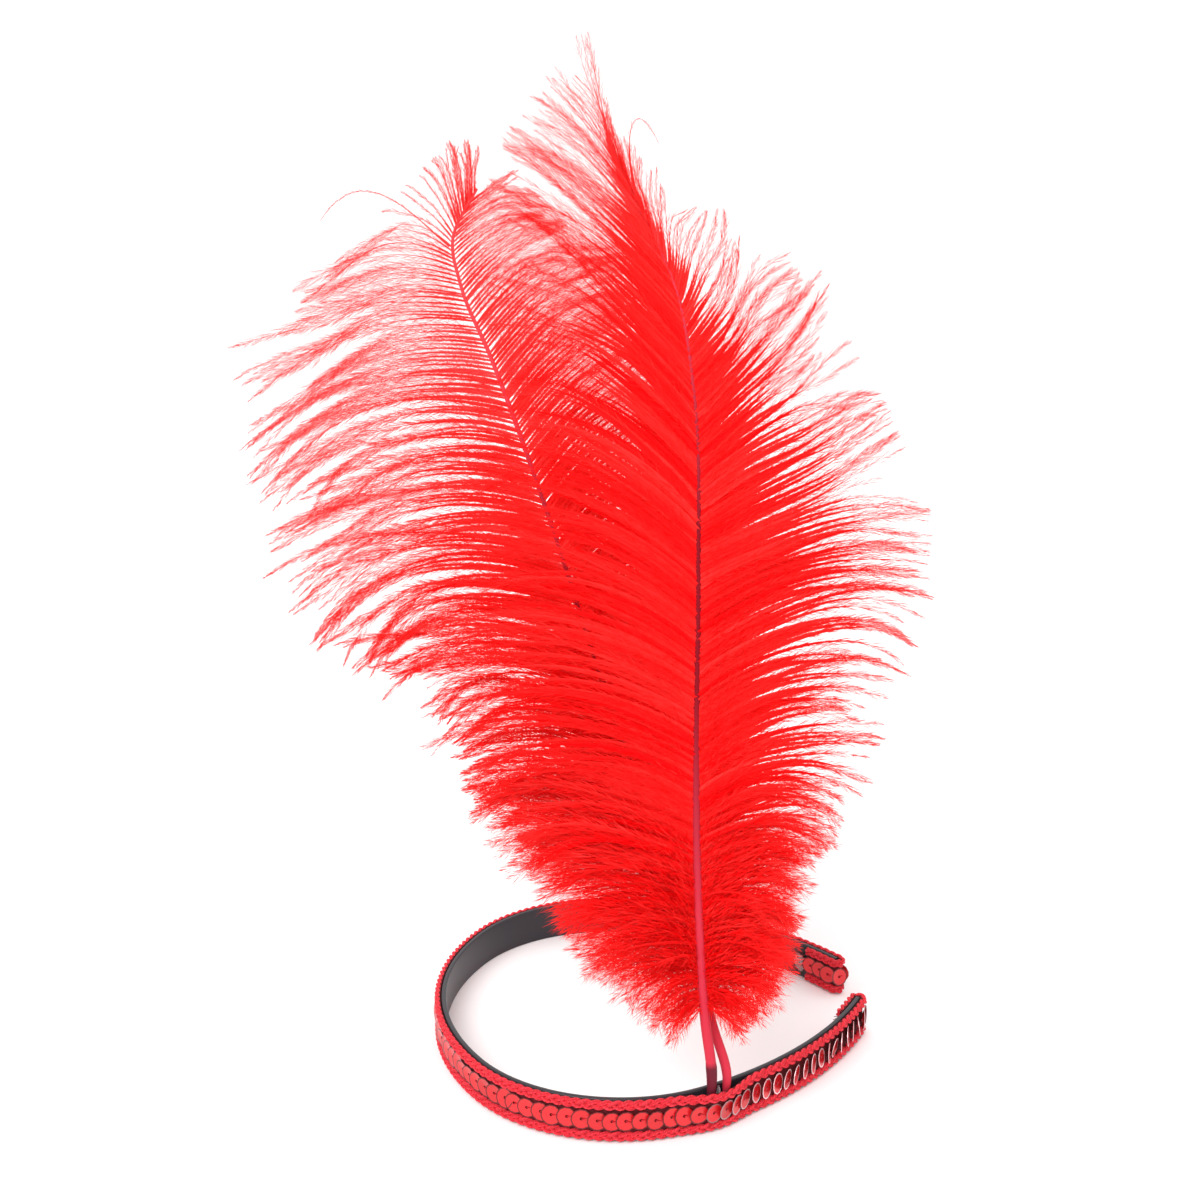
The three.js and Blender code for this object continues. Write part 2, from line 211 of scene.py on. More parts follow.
@dataclass(frozen=True)
class TrimRoute:
    """The way the trim runs: inside return, round a tip, along the outside, round a tip, return."""

    plan: BandPlan
    pocket: Pocket
    base: np.ndarray
    outward: np.ndarray
    run: np.ndarray
    along: np.ndarray

    @classmethod
    def laid(cls, plan: BandPlan, pocket: Pocket, fold: float, stand_off: float, step: float,
             tip_points: int = 11) -> "TrimRoute":
        """Lay the route out in even steps.

        Args:
            plan: The band's plan.
            pocket: The bulge over the quill feet.
            fold: How far the trim returns on the inside.
            stand_off: The distance from the wall's middle at which length is measured.
            step: Length of a step.
            tip_points: Stations round each tip.

        Returns:
            The route.
        """
        outside = np.linspace(-plan.arm, plan.arm, int(2 * plan.arm / step))
        base, outward = plan.at(outside)
        parts = [(base, outward, outside)]
        turns = np.linspace(0, math.pi, tip_points + 2)[1:-1]
        for sign in (-1, 1):
            runs = sign * np.linspace(plan.arm, plan.arm - fold, int(fold / step))
            inside_base, inside_outward = plan.at(runs)
            tip, away = inside_base[0], inside_outward[0]
            round_tip = np.array([[away[0] * math.cos(a) - sign * away[1] * math.sin(a),
                                   sign * away[0] * math.sin(a) + away[1] * math.cos(a)] for a in turns])
            added_base = np.vstack([np.tile(tip, (len(turns), 1)), inside_base])
            added_outward = np.vstack([round_tip, -inside_outward])
            empty = np.full(len(added_base), np.nan)
            if sign < 0:
                parts.insert(0, (added_base[::-1], added_outward[::-1], empty))
            else:
                parts.append((added_base, added_outward, empty))
        base, outward, run = (np.concatenate([part[i] for part in parts]) for i in range(3))
        rough = cls(plan, pocket, base, outward, run, np.zeros(len(base)))
        points = rough.place(stand_off, pocket.top / 2)
        along = np.append(0.0, np.cumsum(np.linalg.norm(np.diff(points, axis=0), axis=1)))
        whole = cls(plan, pocket, base, outward, run, along)
        return whole.at(np.linspace(0, along[-1], int(along[-1] / step)))

    def at(self, alongs: np.ndarray) -> "TrimRoute":
        """Read the route at chosen lengths.

        Args:
            alongs: Lengths along the route.

        Returns:
            The route with a station at each.
        """
        columns = np.column_stack([self.base, self.outward, self.run]).T
        base_x, base_y, out_x, out_y, run = (np.interp(alongs, self.along, values) for values in columns)
        base = np.stack([base_x, base_y], axis=1)
        outward = unit(np.stack([out_x, out_y], axis=1))
        return TrimRoute(self.plan, self.pocket, base, outward, run, alongs)

    def place(self, out: np.ndarray | float, height: np.ndarray | float) -> np.ndarray:
        """Place points off the route.

        Args:
            out: Distance outward from the wall's middle, for each station or for all.
            height: Height above the floor, likewise.

        Returns:
            Points in plan places, in mm.
        """
        heights = np.broadcast_to(np.asarray(height, float), self.run.shape)
        away = out + self.pocket.push(self.run, heights)
        flat = self.base + self.outward * np.broadcast_to(away, self.run.shape)[:, None]
        return np.column_stack([flat, heights])


class NodeGraph:
    """The nodes of a tree, put together one by one."""

    def __init__(self, tree: NodeTree) -> None:
        """Keep the tree that the nodes go into."""
        self.tree = tree

    def add(self, kind: str, feeds: dict[str | int, object], **settings: object) -> Node:
        """Add a node.

        Args:
            kind: The node's type.
            feeds: What goes into each input, by its name or place.
            settings: The node's own properties.

        Returns:
            The node.
        """
        node = self.tree.nodes.new(kind)
        for name, value in settings.items():
            setattr(node, name, value)
        self.feed(node, feeds)
        return node

    def feed(self, node: Node, feeds: dict[str | int, object]) -> None:
        """Set or link a node's inputs.

        Args:
            node: The node.
            feeds: A socket or a plain value for each input. A plain colour is opaque.
        """
        for key, value in feeds.items():
            socket = node.inputs[key] if isinstance(key, int) else self.socket(node.inputs, key)
            if isinstance(value, Socket):
                self.tree.links.new(value, socket)
            elif socket.type == "RGBA":
                socket.default_value = (*value, 1.0)
            else:
                socket.default_value = value

    @staticmethod
    def socket(sockets: bpy_prop_collection, name: str) -> Socket:
        """Find the socket of that name which is in use."""
        return next(s for s in sockets if s.enabled and s.name == name)

    def out(self, kind: str, feeds: dict[str | int, object], output: str, **settings: object) -> Socket:
        """Add a node and return one of its outputs by name."""
        return self.socket(self.add(kind, feeds, **settings).outputs, output)

    def number(self, operation: str, *terms: object) -> Socket:
        """Add arithmetic on numbers and return what comes out."""
        return self.out("ShaderNodeMath", dict(enumerate(terms)), "Value", operation=operation)


class GrowthTree(NodeGraph):
    """A Geometry Nodes tree with named inputs."""

    def __init__(self, name: str, **inputs: str) -> None:
        """Start the tree.

        Args:
            name: The tree's name.
            inputs: The kind of each named input.
        """
        super().__init__(bpy.data.node_groups.new(name, "GeometryNodeTree"))
        face = self.tree.interface
        face.new_socket("Geometry", in_out="INPUT", socket_type="NodeSocketGeometry")
        for label, kind in inputs.items():
            face.new_socket(label, in_out="INPUT", socket_type=f"NodeSocket{kind}")
        face.new_socket("Geometry", in_out="OUTPUT", socket_type="NodeSocketGeometry")
        self.given = self.tree.nodes.new("NodeGroupInput").outputs
        self.result = self.tree.nodes.new("NodeGroupOutput").inputs[0]

    def vector(self, operation: str, *terms: object) -> Socket:
        """Add vector arithmetic.

        Args:
            operation: What is done.
            terms: Its terms, in order. A scale's factor is its second term.

        Returns:
            The vector that comes out.
        """
        feeds = dict(enumerate(terms))
        if operation == "SCALE":
            feeds = {0: terms[0], "Scale": terms[1]}
        return self.out("ShaderNodeVectorMath", feeds, "Vector", operation=operation)

    def attribute(self, name: str, kind: str = "FLOAT") -> Socket:
        """Read a named attribute of the points."""
        return self.out("GeometryNodeInputNamedAttribute", {"Name": name}, "Attribute", data_type=kind)

    def store(self, geometry: Socket, name: str, value: Socket, domain: str = "POINT") -> Socket:
        """Keep a number on the geometry under a name, and hand the geometry on."""
        feeds = {"Geometry": geometry, "Name": name, "Value": value}
        return self.out("GeometryNodeStoreNamedAttribute", feeds, "Geometry",
                        data_type="FLOAT", domain=domain)

    def random(self, low: float, high: float, seed: object) -> Socket:
        """Draw an even random number for each element."""
        feeds = {"Min": low, "Max": high, "Seed": seed}
        return self.out("FunctionNodeRandomValue", feeds, "Value", data_type="FLOAT")

    def line(self) -> Socket:
        """Take the given edges as curves."""
        return self.out("GeometryNodeMeshToCurve", {"Mesh": self.given["Geometry"]}, "Curve")

    def smooth(self, mesh: Socket) -> Socket:
        """Shade a mesh smooth."""
        return self.out("GeometryNodeSetShadeSmooth", {"Geometry": mesh}, "Geometry")

    def copies(self, points: Socket, item: str, turn: Socket, scale: Socket) -> Socket:
        """Set a copy of an object at each point.

        Args:
            points: The points.
            item: The named input that holds the object.
            turn: The turn of each copy.
            scale: The size of each copy.

        Returns:
            The copies.
        """
        item_shape = self.out("GeometryNodeObjectInfo", {"Object": self.given[item]}, "Geometry")
        feeds = {"Points": points, "Instance": item_shape, "Rotation": turn, "Scale": scale}
        return self.out("GeometryNodeInstanceOnPoints", feeds, "Instances")

    def finish(self, geometry: Socket) -> GeometryNodeTree:
        """Realize the copies, give them their material and end the tree.

        Args:
            geometry: What the tree made.

        Returns:
            The tree.
        """
        solid = self.out("GeometryNodeRealizeInstances", {"Geometry": geometry}, "Geometry")
        feeds = {"Geometry": solid, "Material": self.given["Material"]}
        self.tree.links.new(self.out("GeometryNodeSetMaterial", feeds, "Geometry"), self.result)
        return self.tree


class Workbench:
    """Turns arrays in plan places into objects in the row frame."""

    def __init__(self, shift: np.ndarray) -> None:
        """Keep the move from plan places to the row frame, in mm."""
        self.shift = shift

    def mesh(self, name: str, points: np.ndarray, faces: list, smooth: bool = True) -> Mesh:
        """Make a mesh.

        Args:
            name: Its name.
            points: Plan places in mm.
            faces: Lists of point numbers, outward side counter-clockwise.
            smooth: Whether it is shaded smooth.

        Returns:
            The mesh in the row frame, in metres.
        """
        mesh = bpy.data.meshes.new(name)
        mesh.from_pydata(((points + self.shift) * MM).tolist(), [], faces)
        if smooth:
            mesh.shade_smooth()
        else:
            mesh.shade_flat()
        return mesh

    def lofted(self, name: str, rings: np.ndarray, smooth: bool = True) -> Mesh:
        """Make a closed solid through rings.

        Args:
            name: The mesh's name.
            rings: Points by ring and place round it, each ring counter-clockwise about the way on.
            smooth: Whether it is shaded smooth.

        Returns:
            The mesh.
        """
        count, size = rings.shape[:2]
        faces = [list(range(size - 1, -1, -1)), list(range((count - 1) * size, count * size))]
        for i in range(count - 1):
            for j in range(size):
                a, b = i * size + j, i * size + (j + 1) % size
                faces.append([a, b, b + size, a + size])
        return self.mesh(name, rings.reshape(-1, 3), faces, smooth)

    def strands(self, name: str, paths: np.ndarray, columns: dict[str, np.ndarray]) -> Mesh:
        """Make bare lines that carry attributes.

        Args:
            name: The mesh's name.
            paths: Plan places by line and point.
            columns: Values for each point, single or as vectors.

        Returns:
            A mesh of edges.
        """
        count, size = paths.shape[:2]
        starts = np.arange(count * size).reshape(count, size)
        edges = np.stack([starts[:, :-1].ravel(), starts[:, 1:].ravel()], axis=1)
        mesh = bpy.data.meshes.new(name)
        mesh.from_pydata(((paths.reshape(-1, 3) + self.shift) * MM).tolist(), edges.tolist(), [])
        for label, values in columns.items():
            vector = values.shape[-1] == 3 and values.ndim == paths.ndim
            made = mesh.attributes.new(label, "FLOAT_VECTOR" if vector else "FLOAT", "POINT")
            made.data.foreach_set("vector" if vector else "value", values.astype(np.float32).ravel())
        return mesh

    def show(self, name: str, mesh: Mesh,
             material: Material | None = None) -> Object:
        """Put a mesh in the scene as an object at the origin.

        Args:
            name: The object's name.
            mesh: Its mesh.
            material: Its material, or none where the mesh already has one.

        Returns:
            The object.
        """
        if material is not None:
            mesh.materials.clear()
            mesh.materials.append(material)
        piece = bpy.data.objects.new(name, mesh)
        bpy.context.scene.collection.objects.link(piece)
        return piece

    def grown(self, name: str, source: Mesh, tree: GeometryNodeTree,
              inputs: dict[str, object]) -> Object:
        """Run a Geometry Nodes tree once and keep what it makes as a plain mesh.

        Args:
            name: The piece's name.
            source: The lines or points that the tree works on.
            tree: The tree.
            inputs: Values of its named inputs.

        Returns:
            The piece, with no modifier.
        """
        carrier = self.show(f"{name}_source", source)
        modifier = carrier.modifiers.new("grow", "NODES")
        modifier.node_group = tree
        for item in tree.interface.items_tree:
            if item.in_out == "INPUT" and item.name in inputs:
                modifier[item.identifier] = inputs[item.name]
        depsgraph = bpy.context.evaluated_depsgraph_get()
        mesh = bpy.data.meshes.new_from_object(carrier.evaluated_get(depsgraph), depsgraph=depsgraph)
        bpy.data.objects.remove(carrier)
        mesh.name = name
        return self.show(name, mesh)


def settle(piece: Object, slot: str, *nodes: str) -> None:
    """Hang a piece on the part's one body.

    Args:
        piece: The piece.
        slot: The name of a finish slot; not used.
        nodes: The CAD nodes that it stands for.
    """
    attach(piece, BODY)
    if nodes:
        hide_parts(*nodes)
    piece.data.calc_loop_triangles()
    LOG.info("%s: %d triangles", piece.name, len(piece.data.loop_triangles))


class Shader(NodeGraph):
    """A material's nodes."""

    def __init__(self, name: str) -> None:
        """Start an empty material.

        Args:
            name: Its name.
        """
        self.material = bpy.data.materials.new(name)
        self.material.use_nodes = True
        super().__init__(self.material.node_tree)
        self.surface = self.tree.nodes["Principled BSDF"]
        self.result = self.tree.nodes["Material Output"]

    def value(self, name: str) -> Socket:
        """Read a named attribute of the mesh."""
        return self.out("ShaderNodeAttribute", {}, "Fac", attribute_name=name)

    def blend(self, share: Socket, first: Colour | Socket, second: Colour | Socket) -> Socket:
        """Mix two colours by a share, from the first at 0 to the second at 1."""
        return self.add("ShaderNodeMix", {0: share, 6: first, 7: second}, data_type="RGBA").outputs[2]

    def grain(self, scale: float, detail: float, stretch: Point | None = None) -> Socket:
        """Lay an uneven pattern over the piece.

        Args:
            scale: How fine it is, to the metre.
            detail: How many finer layers it has.
            stretch: Scale along each axis before that, if it isn't even.

        Returns:
            The pattern's height.
        """
        place = self.out("ShaderNodeTexCoord", {}, "Object")
        if stretch is not None:
            place = self.out("ShaderNodeMapping", {"Vector": place, "Scale": stretch}, "Vector")
        return self.add("ShaderNodeTexNoise", {"Vector": place, "Scale": scale, "Detail": detail}).outputs[0]

    def bump(self, height: Socket, strength: float, depth: float) -> None:
        """Roughen the surface by a height pattern, of a depth in metres."""
        feeds = {"Height": height, "Strength": strength, "Distance": depth}
        self.tree.links.new(self.out("ShaderNodeBump", feeds, "Normal"), self.surface.inputs["Normal"])


@dataclass(frozen=True)
class PlasticFinish:
    """Satin black moulded plastic, with a fine grain."""

    colour: Colour = (0.022, 0.019, 0.024)
    roughness: float = 0.36
    gloss: float = 0.4
    grain: float = 2500.0
    grain_strength: float = 0.15
    grain_depth: float = 0.00005

    def material(self) -> Material:
        """Make the material.

        Returns:
            The material.
        """
        shader = Shader("band_plastic")
        shader.feed(shader.surface, {
            "Base Color": self.colour,
            "Roughness": self.roughness,
            "Specular IOR Level": self.gloss,
        })
        shader.bump(shader.grain(self.grain, 2.0), self.grain_strength, self.grain_depth)
        return shader.material


@dataclass(frozen=True)
class YarnFinish:
    """Twisted shiny yarn, with fine plies that follow its own length. The twist is in mm."""

    name: str = "braid_yarn"
    # dark and light are the yarn's red in the plies' grooves and on their crests: painted shade that follows
    # the ply bump.
    dark: Colour = (0.66, 0.010, 0.024)
    light: Colour = (1.0, 0.048, 0.072)
    light_share: float = 0.62
    light_swing: float = 0.35
    twist: float = 0.9
    plies: float = 3.0
    roughness: float = 0.6
    gloss: float = 0.25
    ply_strength: float = 0.7
    ply_depth: float = 0.0002

    def material(self) -> Material:
        """Make the material, whose plies read the yarn's along and around, with painted shade in their
        grooves.

        Returns:
            The material.
        """
        shader = Shader(self.name)
        turns = shader.number("MULTIPLY", shader.value("along"), 1.0 / (self.twist * MM))
        phase = shader.number("MULTIPLY_ADD", shader.value("around"), self.plies, turns)
        wave = shader.number("SINE", shader.number("MULTIPLY", phase, TURN))
        # The colour follows the bump's wave: painted shade in the grooves, lighter on the crests.
        share = shader.number("MULTIPLY_ADD", wave, self.light_swing, self.light_share)
        shader.feed(shader.surface, {
            "Base Color": shader.blend(share, self.dark, self.light),
            "Roughness": self.roughness,
            "Specular IOR Level": self.gloss,
        })
        shader.bump(wave, self.ply_strength, self.ply_depth)
        return shader.material


@dataclass(frozen=True)
class TapeFinish:
    """The dark woven ground that shows between the borders and the sequins."""

    colour: Colour = (0.10, 0.002, 0.005)
    roughness: float = 0.9
    weave: float = 1800.0
    weave_strength: float = 0.6
    weave_depth: float = 0.0003

    def material(self) -> Material:
        """Make the material.

        Returns:
            The material.
        """
        shader = Shader("braid_ground")
        shader.feed(shader.surface, {"Base Color": self.colour, "Roughness": self.roughness})
        shader.bump(shader.grain(self.weave, 3.0), self.weave_strength, self.weave_depth)
        return shader.material


@dataclass(frozen=True)
class SequinFinish:
    """Thin red foil plastic, shiny on both faces."""

    colour: Colour = (0.72, 0.015, 0.021)
    dimmest: float = 0.7
    # The rim colours are painted light: shadowed is a painted shadow, gleaming a painted highlight.
    shadowed: Colour = (0.14, 0.001, 0.003)
    gleaming: Colour = (1.0, 0.72, 0.75)
    metal: float = 0.35
    roughness: float = 0.3
    gloss: float = 0.5
    coat: float = 0.3
    coat_roughness: float = 0.12

    def material(self) -> Material:
        """Make the material, with a shade of its own on each disc, and rims painted as shadow or as a
        highlight.

        Returns:
            The material.
        """
        shader = Shader("sequin_foil")
        dim = tuple(self.dimmest * c for c in self.colour)
        face = shader.blend(shader.value("shade"), dim, self.colour)
        # Rim colour: painted shadow where gleam is 0, painted highlight where it is 1, on the faces that edge
        # marks.
        rim = shader.blend(shader.value("gleam"), self.shadowed, self.gleaming)
        shader.feed(shader.surface, {
            "Base Color": shader.blend(shader.value("edge"), face, rim),
            "Metallic": self.metal,
            "Roughness": self.roughness,
            "Specular IOR Level": self.gloss,
            "Coat Weight": self.coat,
            "Coat Roughness": self.coat_roughness,
        })
        return shader.material


@dataclass(frozen=True)
class QuillFinish:
    """Dyed quill: dusky where it was dipped in glue, rose above, deep red up the shaft, pale at the tip."""

    foot: Colour = (0.13, 0.012, 0.024)
    stem: Colour = (0.54, 0.029, 0.055)
    shaft: Colour = (0.20, 0.001, 0.008)
    pale: Colour = (0.90, 0.06, 0.07)
    roughness: float = 0.5
    gloss: float = 0.12
    fibre: Point = (3000.0, 3000.0, 120.0)
    fibre_strength: float = 0.3
    fibre_depth: float = 0.0002

    def material(self) -> Material:
        """Make the material, which reads the shares of foot, shaft and tip at each point.

        Returns:
            The material.
        """
        shader = Shader("quill_dyed")
        colour = shader.blend(shader.value("shaft"), self.stem, self.shaft)
        colour = shader.blend(shader.value("pale"), colour, self.pale)
        shader.feed(shader.surface, {
            "Base Color": shader.blend(shader.value("foot"), colour, self.foot),
            "Roughness": self.roughness,
            "Specular IOR Level": self.gloss,
        })
        shader.bump(shader.grain(1.0, 2.0, self.fibre), self.fibre_strength, self.fibre_depth)
        return shader.material


@dataclass(frozen=True)
class PlumeFinish:
    """Dyed barbs and barbules, which let the light through."""

    deep: Colour = (0.95, 0.001, 0.004)
    bright: Colour = (1.0, 0.044, 0.040)
    pale: Colour = (1.0, 0.12, 0.125)
    glow: Colour = (1.0, 0.075, 0.065)
    glow_share: float = 0.4
    roughness: float = 0.6
    gloss: float = 0.12

    def material(self) -> Material:
        """Make the material, whose red reads each strand's shade: deep at 0, bright at 1, pale at 2.

        Returns:
            The material.
        """
        shader = Shader("plume_dyed")
        shade = shader.value("shade")
        over = shader.number("SUBTRACT", shade, 1.0)
        red, through = (shader.blend(over, shader.blend(shade, *pair), self.pale)
                        for pair in ((self.deep, self.bright), (self.bright, self.glow)))
        shader.feed(shader.surface, {
            "Base Color": red,
            "Roughness": self.roughness,
            "Specular IOR Level": self.gloss,
        })
        back = shader.out("ShaderNodeBsdfTranslucent", {"Color": through}, "BSDF")
        feeds = {0: self.glow_share, 1: shader.surface.outputs[0], 2: back}
        both = shader.out("ShaderNodeMixShader", feeds, "Shader")
        shader.tree.links.new(both, shader.result.inputs["Surface"])
        return shader.material


@dataclass(frozen=True)
class GlueFinish:
    """Dried clear glue, cloudy and glossy."""

    colour: Colour = (0.80, 0.66, 0.68)
    roughness: float = 0.12
    clear: float = 0.75
    bending: float = 1.45

    def material(self) -> Material:
        """Make the material.

        Returns:
            The material.
        """
        shader = Shader("glue_dried")
        shader.feed(shader.surface, {
            "Base Color": self.colour,
            "Roughness": self.roughness,
            "Transmission Weight": self.clear,
            "IOR": self.bending,
        })
        return shader.material


@dataclass
class Hairband:
    """The plastic strip, standing on its edge. Lengths in mm, the crease in degrees."""

    plan: BandPlan
    corner: float = 0.45
    corner_points: int = 5
    step: float = 1.5
    crease: float = 50.0

    def outline(self) -> np.ndarray:
        """Draw the strip's cut end.

        Returns:
            Places outward and up, round the end.
        """
        out = self.plan.thickness / 2 - self.corner
        top = self.plan.width - self.corner
        quarter = math.pi / 2
        bend = np.linspace(0, quarter, self.corner_points)
        corners = ((out, self.corner, -1), (out, top, 0), (-out, top, 1), (-out, self.corner, 2))
        points = [(middle + self.corner * math.cos(a), height + self.corner * math.sin(a))
                  for middle, height, turns in corners for a in bend + turns * quarter]
        return np.array(points[::-1])

    def build(self, bench: Workbench, finish: PlasticFinish) -> None:
        """Make the strip with soft corners.

        Args:
            bench: The workbench.
            finish: Its plastic.
        """
        outline = self.outline()
        runs = np.linspace(-self.plan.arm, self.plan.arm, int(2 * self.plan.arm / self.step))
        base, outward = self.plan.at(runs)
        flat = base[:, None] + outward[:, None] * outline[None, :, :1]
        heights = np.broadcast_to(outline[None, :, 1:], (*flat.shape[:2], 1))
        mesh = bench.lofted("band_strip", np.concatenate([flat, heights], axis=2))
        mesh.set_sharp_from_angle(angle=math.radians(self.crease))
        settle(bench.show("band_strip", mesh, finish.material()), "band_plastic", "band")


@dataclass
class Braid:
    """The trim: a woven ground and two plaited borders, folded round the tips.

    Lengths are in mm. A frayed thread's shortest length, rise and lift are shares of end_length.
    """

    route: TrimRoute
    low: float = 0.4
    high: float = 11.6
    gap: float = 0.3
    ground: float = 0.5
    yarn: float = 0.52
    sway: float = 0.82
    lift: float = 0.36
    plait: float = 8.1
    strands: int = 3
    sides: int = 7
    ends: int = 22
    end_length: float = 4.0
    end_shortest: float = 0.35
    end_rise: float = 0.35
    end_lift: float = 0.4
    end_margin: float = 0.6
    end_floor: float = 0.2
    end_points: int = 6
    end_radius: float = 0.09
    end_sides: int = 4
    seed: int = 31

    @property
    def near(self) -> float:
        """Distance of the trim's inner face from the middle of the wall."""
        return self.route.plan.thickness / 2 + self.gap

    def yarn_tree(self) -> GeometryNodeTree:
        """Build the tree that swells lines into yarns and marks along and around on them.

        Returns:
            The tree.
        """
        graph = GrowthTree("yarns", Radius="Float", Sides="Int", Material="Material")
        length = graph.out("GeometryNodeSplineParameter", {}, "Length")
        marked = graph.store(graph.line(), "along", length)
        feeds = {"Resolution": graph.given["Sides"], "Radius": graph.given["Radius"]}
        round_way = graph.out("GeometryNodeCurvePrimitiveCircle", feeds, "Curve")
        share = graph.out("GeometryNodeSplineParameter", {}, "Factor")
        profile = graph.store(round_way, "around", share)
        feeds = {"Curve": marked, "Profile Curve": profile, "Fill Caps": True}
        return graph.finish(graph.smooth(graph.out("GeometryNodeCurveToMesh", feeds, "Mesh")))

    def border(self, edge: Border) -> np.ndarray:
        """Plait the yarns of one border.

        Args:
            edge: Which border.

        Returns:
            Points by yarn and station.
        """
        half = self.sway + self.yarn
        middle = self.high - half if edge is Border.UPPER else self.low + half
        out = self.near + self.lift + self.yarn
        paths = []
        for k in range(self.strands):
            phase = TURN * (self.route.along / self.plait + k / self.strands)
            away = out + self.lift * np.sin(2 * phase)
            paths.append(self.route.place(away, middle + self.sway * np.sin(phase)))
        return np.array(paths)

    def fray(self, last: bool) -> np.ndarray:
        """Draw the threads that stick out of one cut end.

        Args:
            last: Whether it is the end of the route, or its start.

        Returns:
            Points by thread and step.
        """
        rng = np.random.default_rng(self.seed + last)
        end, inner = (-1, -3) if last else (0, 2)
        out = self.near + self.ground / 2
        cut, behind = (self.route.base[i] + self.route.outward[i] * out for i in (end, inner))
        away = unit(cut - behind)
        length = self.end_length * rng.uniform(self.end_shortest, 1.0, self.ends)[:, None, None]
        rise = rng.normal(0, self.end_rise, self.ends)[:, None, None]
        lift = rng.uniform(0.0, self.end_lift, self.ends)[:, None, None]
        lowest, highest = self.low + self.end_margin, self.high - self.end_margin
        height = rng.uniform(lowest, highest, self.ends)[:, None, None]
        t = np.linspace(0, 1, self.end_points)[None, :, None]
        flat = cut + length * t * away + length * lift * t**2 * self.route.outward[end]
        return np.concatenate([flat, np.maximum(height + length * rise * t**2, self.end_floor)], axis=2)

    def build(self, bench: Workbench, tape: TapeFinish, tree: GeometryNodeTree,
              material: Material, frayed: Material) -> None:
        """Make the ground, the borders and the threads at the cut ends.

        Args:
            bench: The workbench.
            tape: The ground's finish.
            tree: The tree that swells lines into yarns.
            material: The borders' yarn.
            frayed: The ground's loose threads.
        """
        low = self.low + self.yarn
        high = self.high - self.yarn
        far = self.near + self.ground
        corners = ((self.near, low), (self.near, high), (far, high), (far, low))
        rings = np.stack([self.route.place(out, z) for out, z in corners], axis=1)
        mesh = bench.lofted("braid_ground", rings, smooth=False)
        settle(bench.show("braid_ground", mesh, tape.material()), "braid", "trim")
        for edge in Border:
            lines = bench.strands(f"lines_{edge.value}", self.border(edge), {})
            inputs = {"Radius": self.yarn * MM, "Sides": self.sides, "Material": material}
            settle(bench.grown(f"braid_{edge.value}", lines, tree, inputs), "braid")
        threads = bench.strands("fray_lines", np.concatenate([self.fray(False), self.fray(True)]), {})
        inputs = {"Radius": self.end_radius * MM, "Sides": self.end_sides, "Material": frayed}
        settle(bench.grown("braid_fray", threads, tree, inputs), "braid")


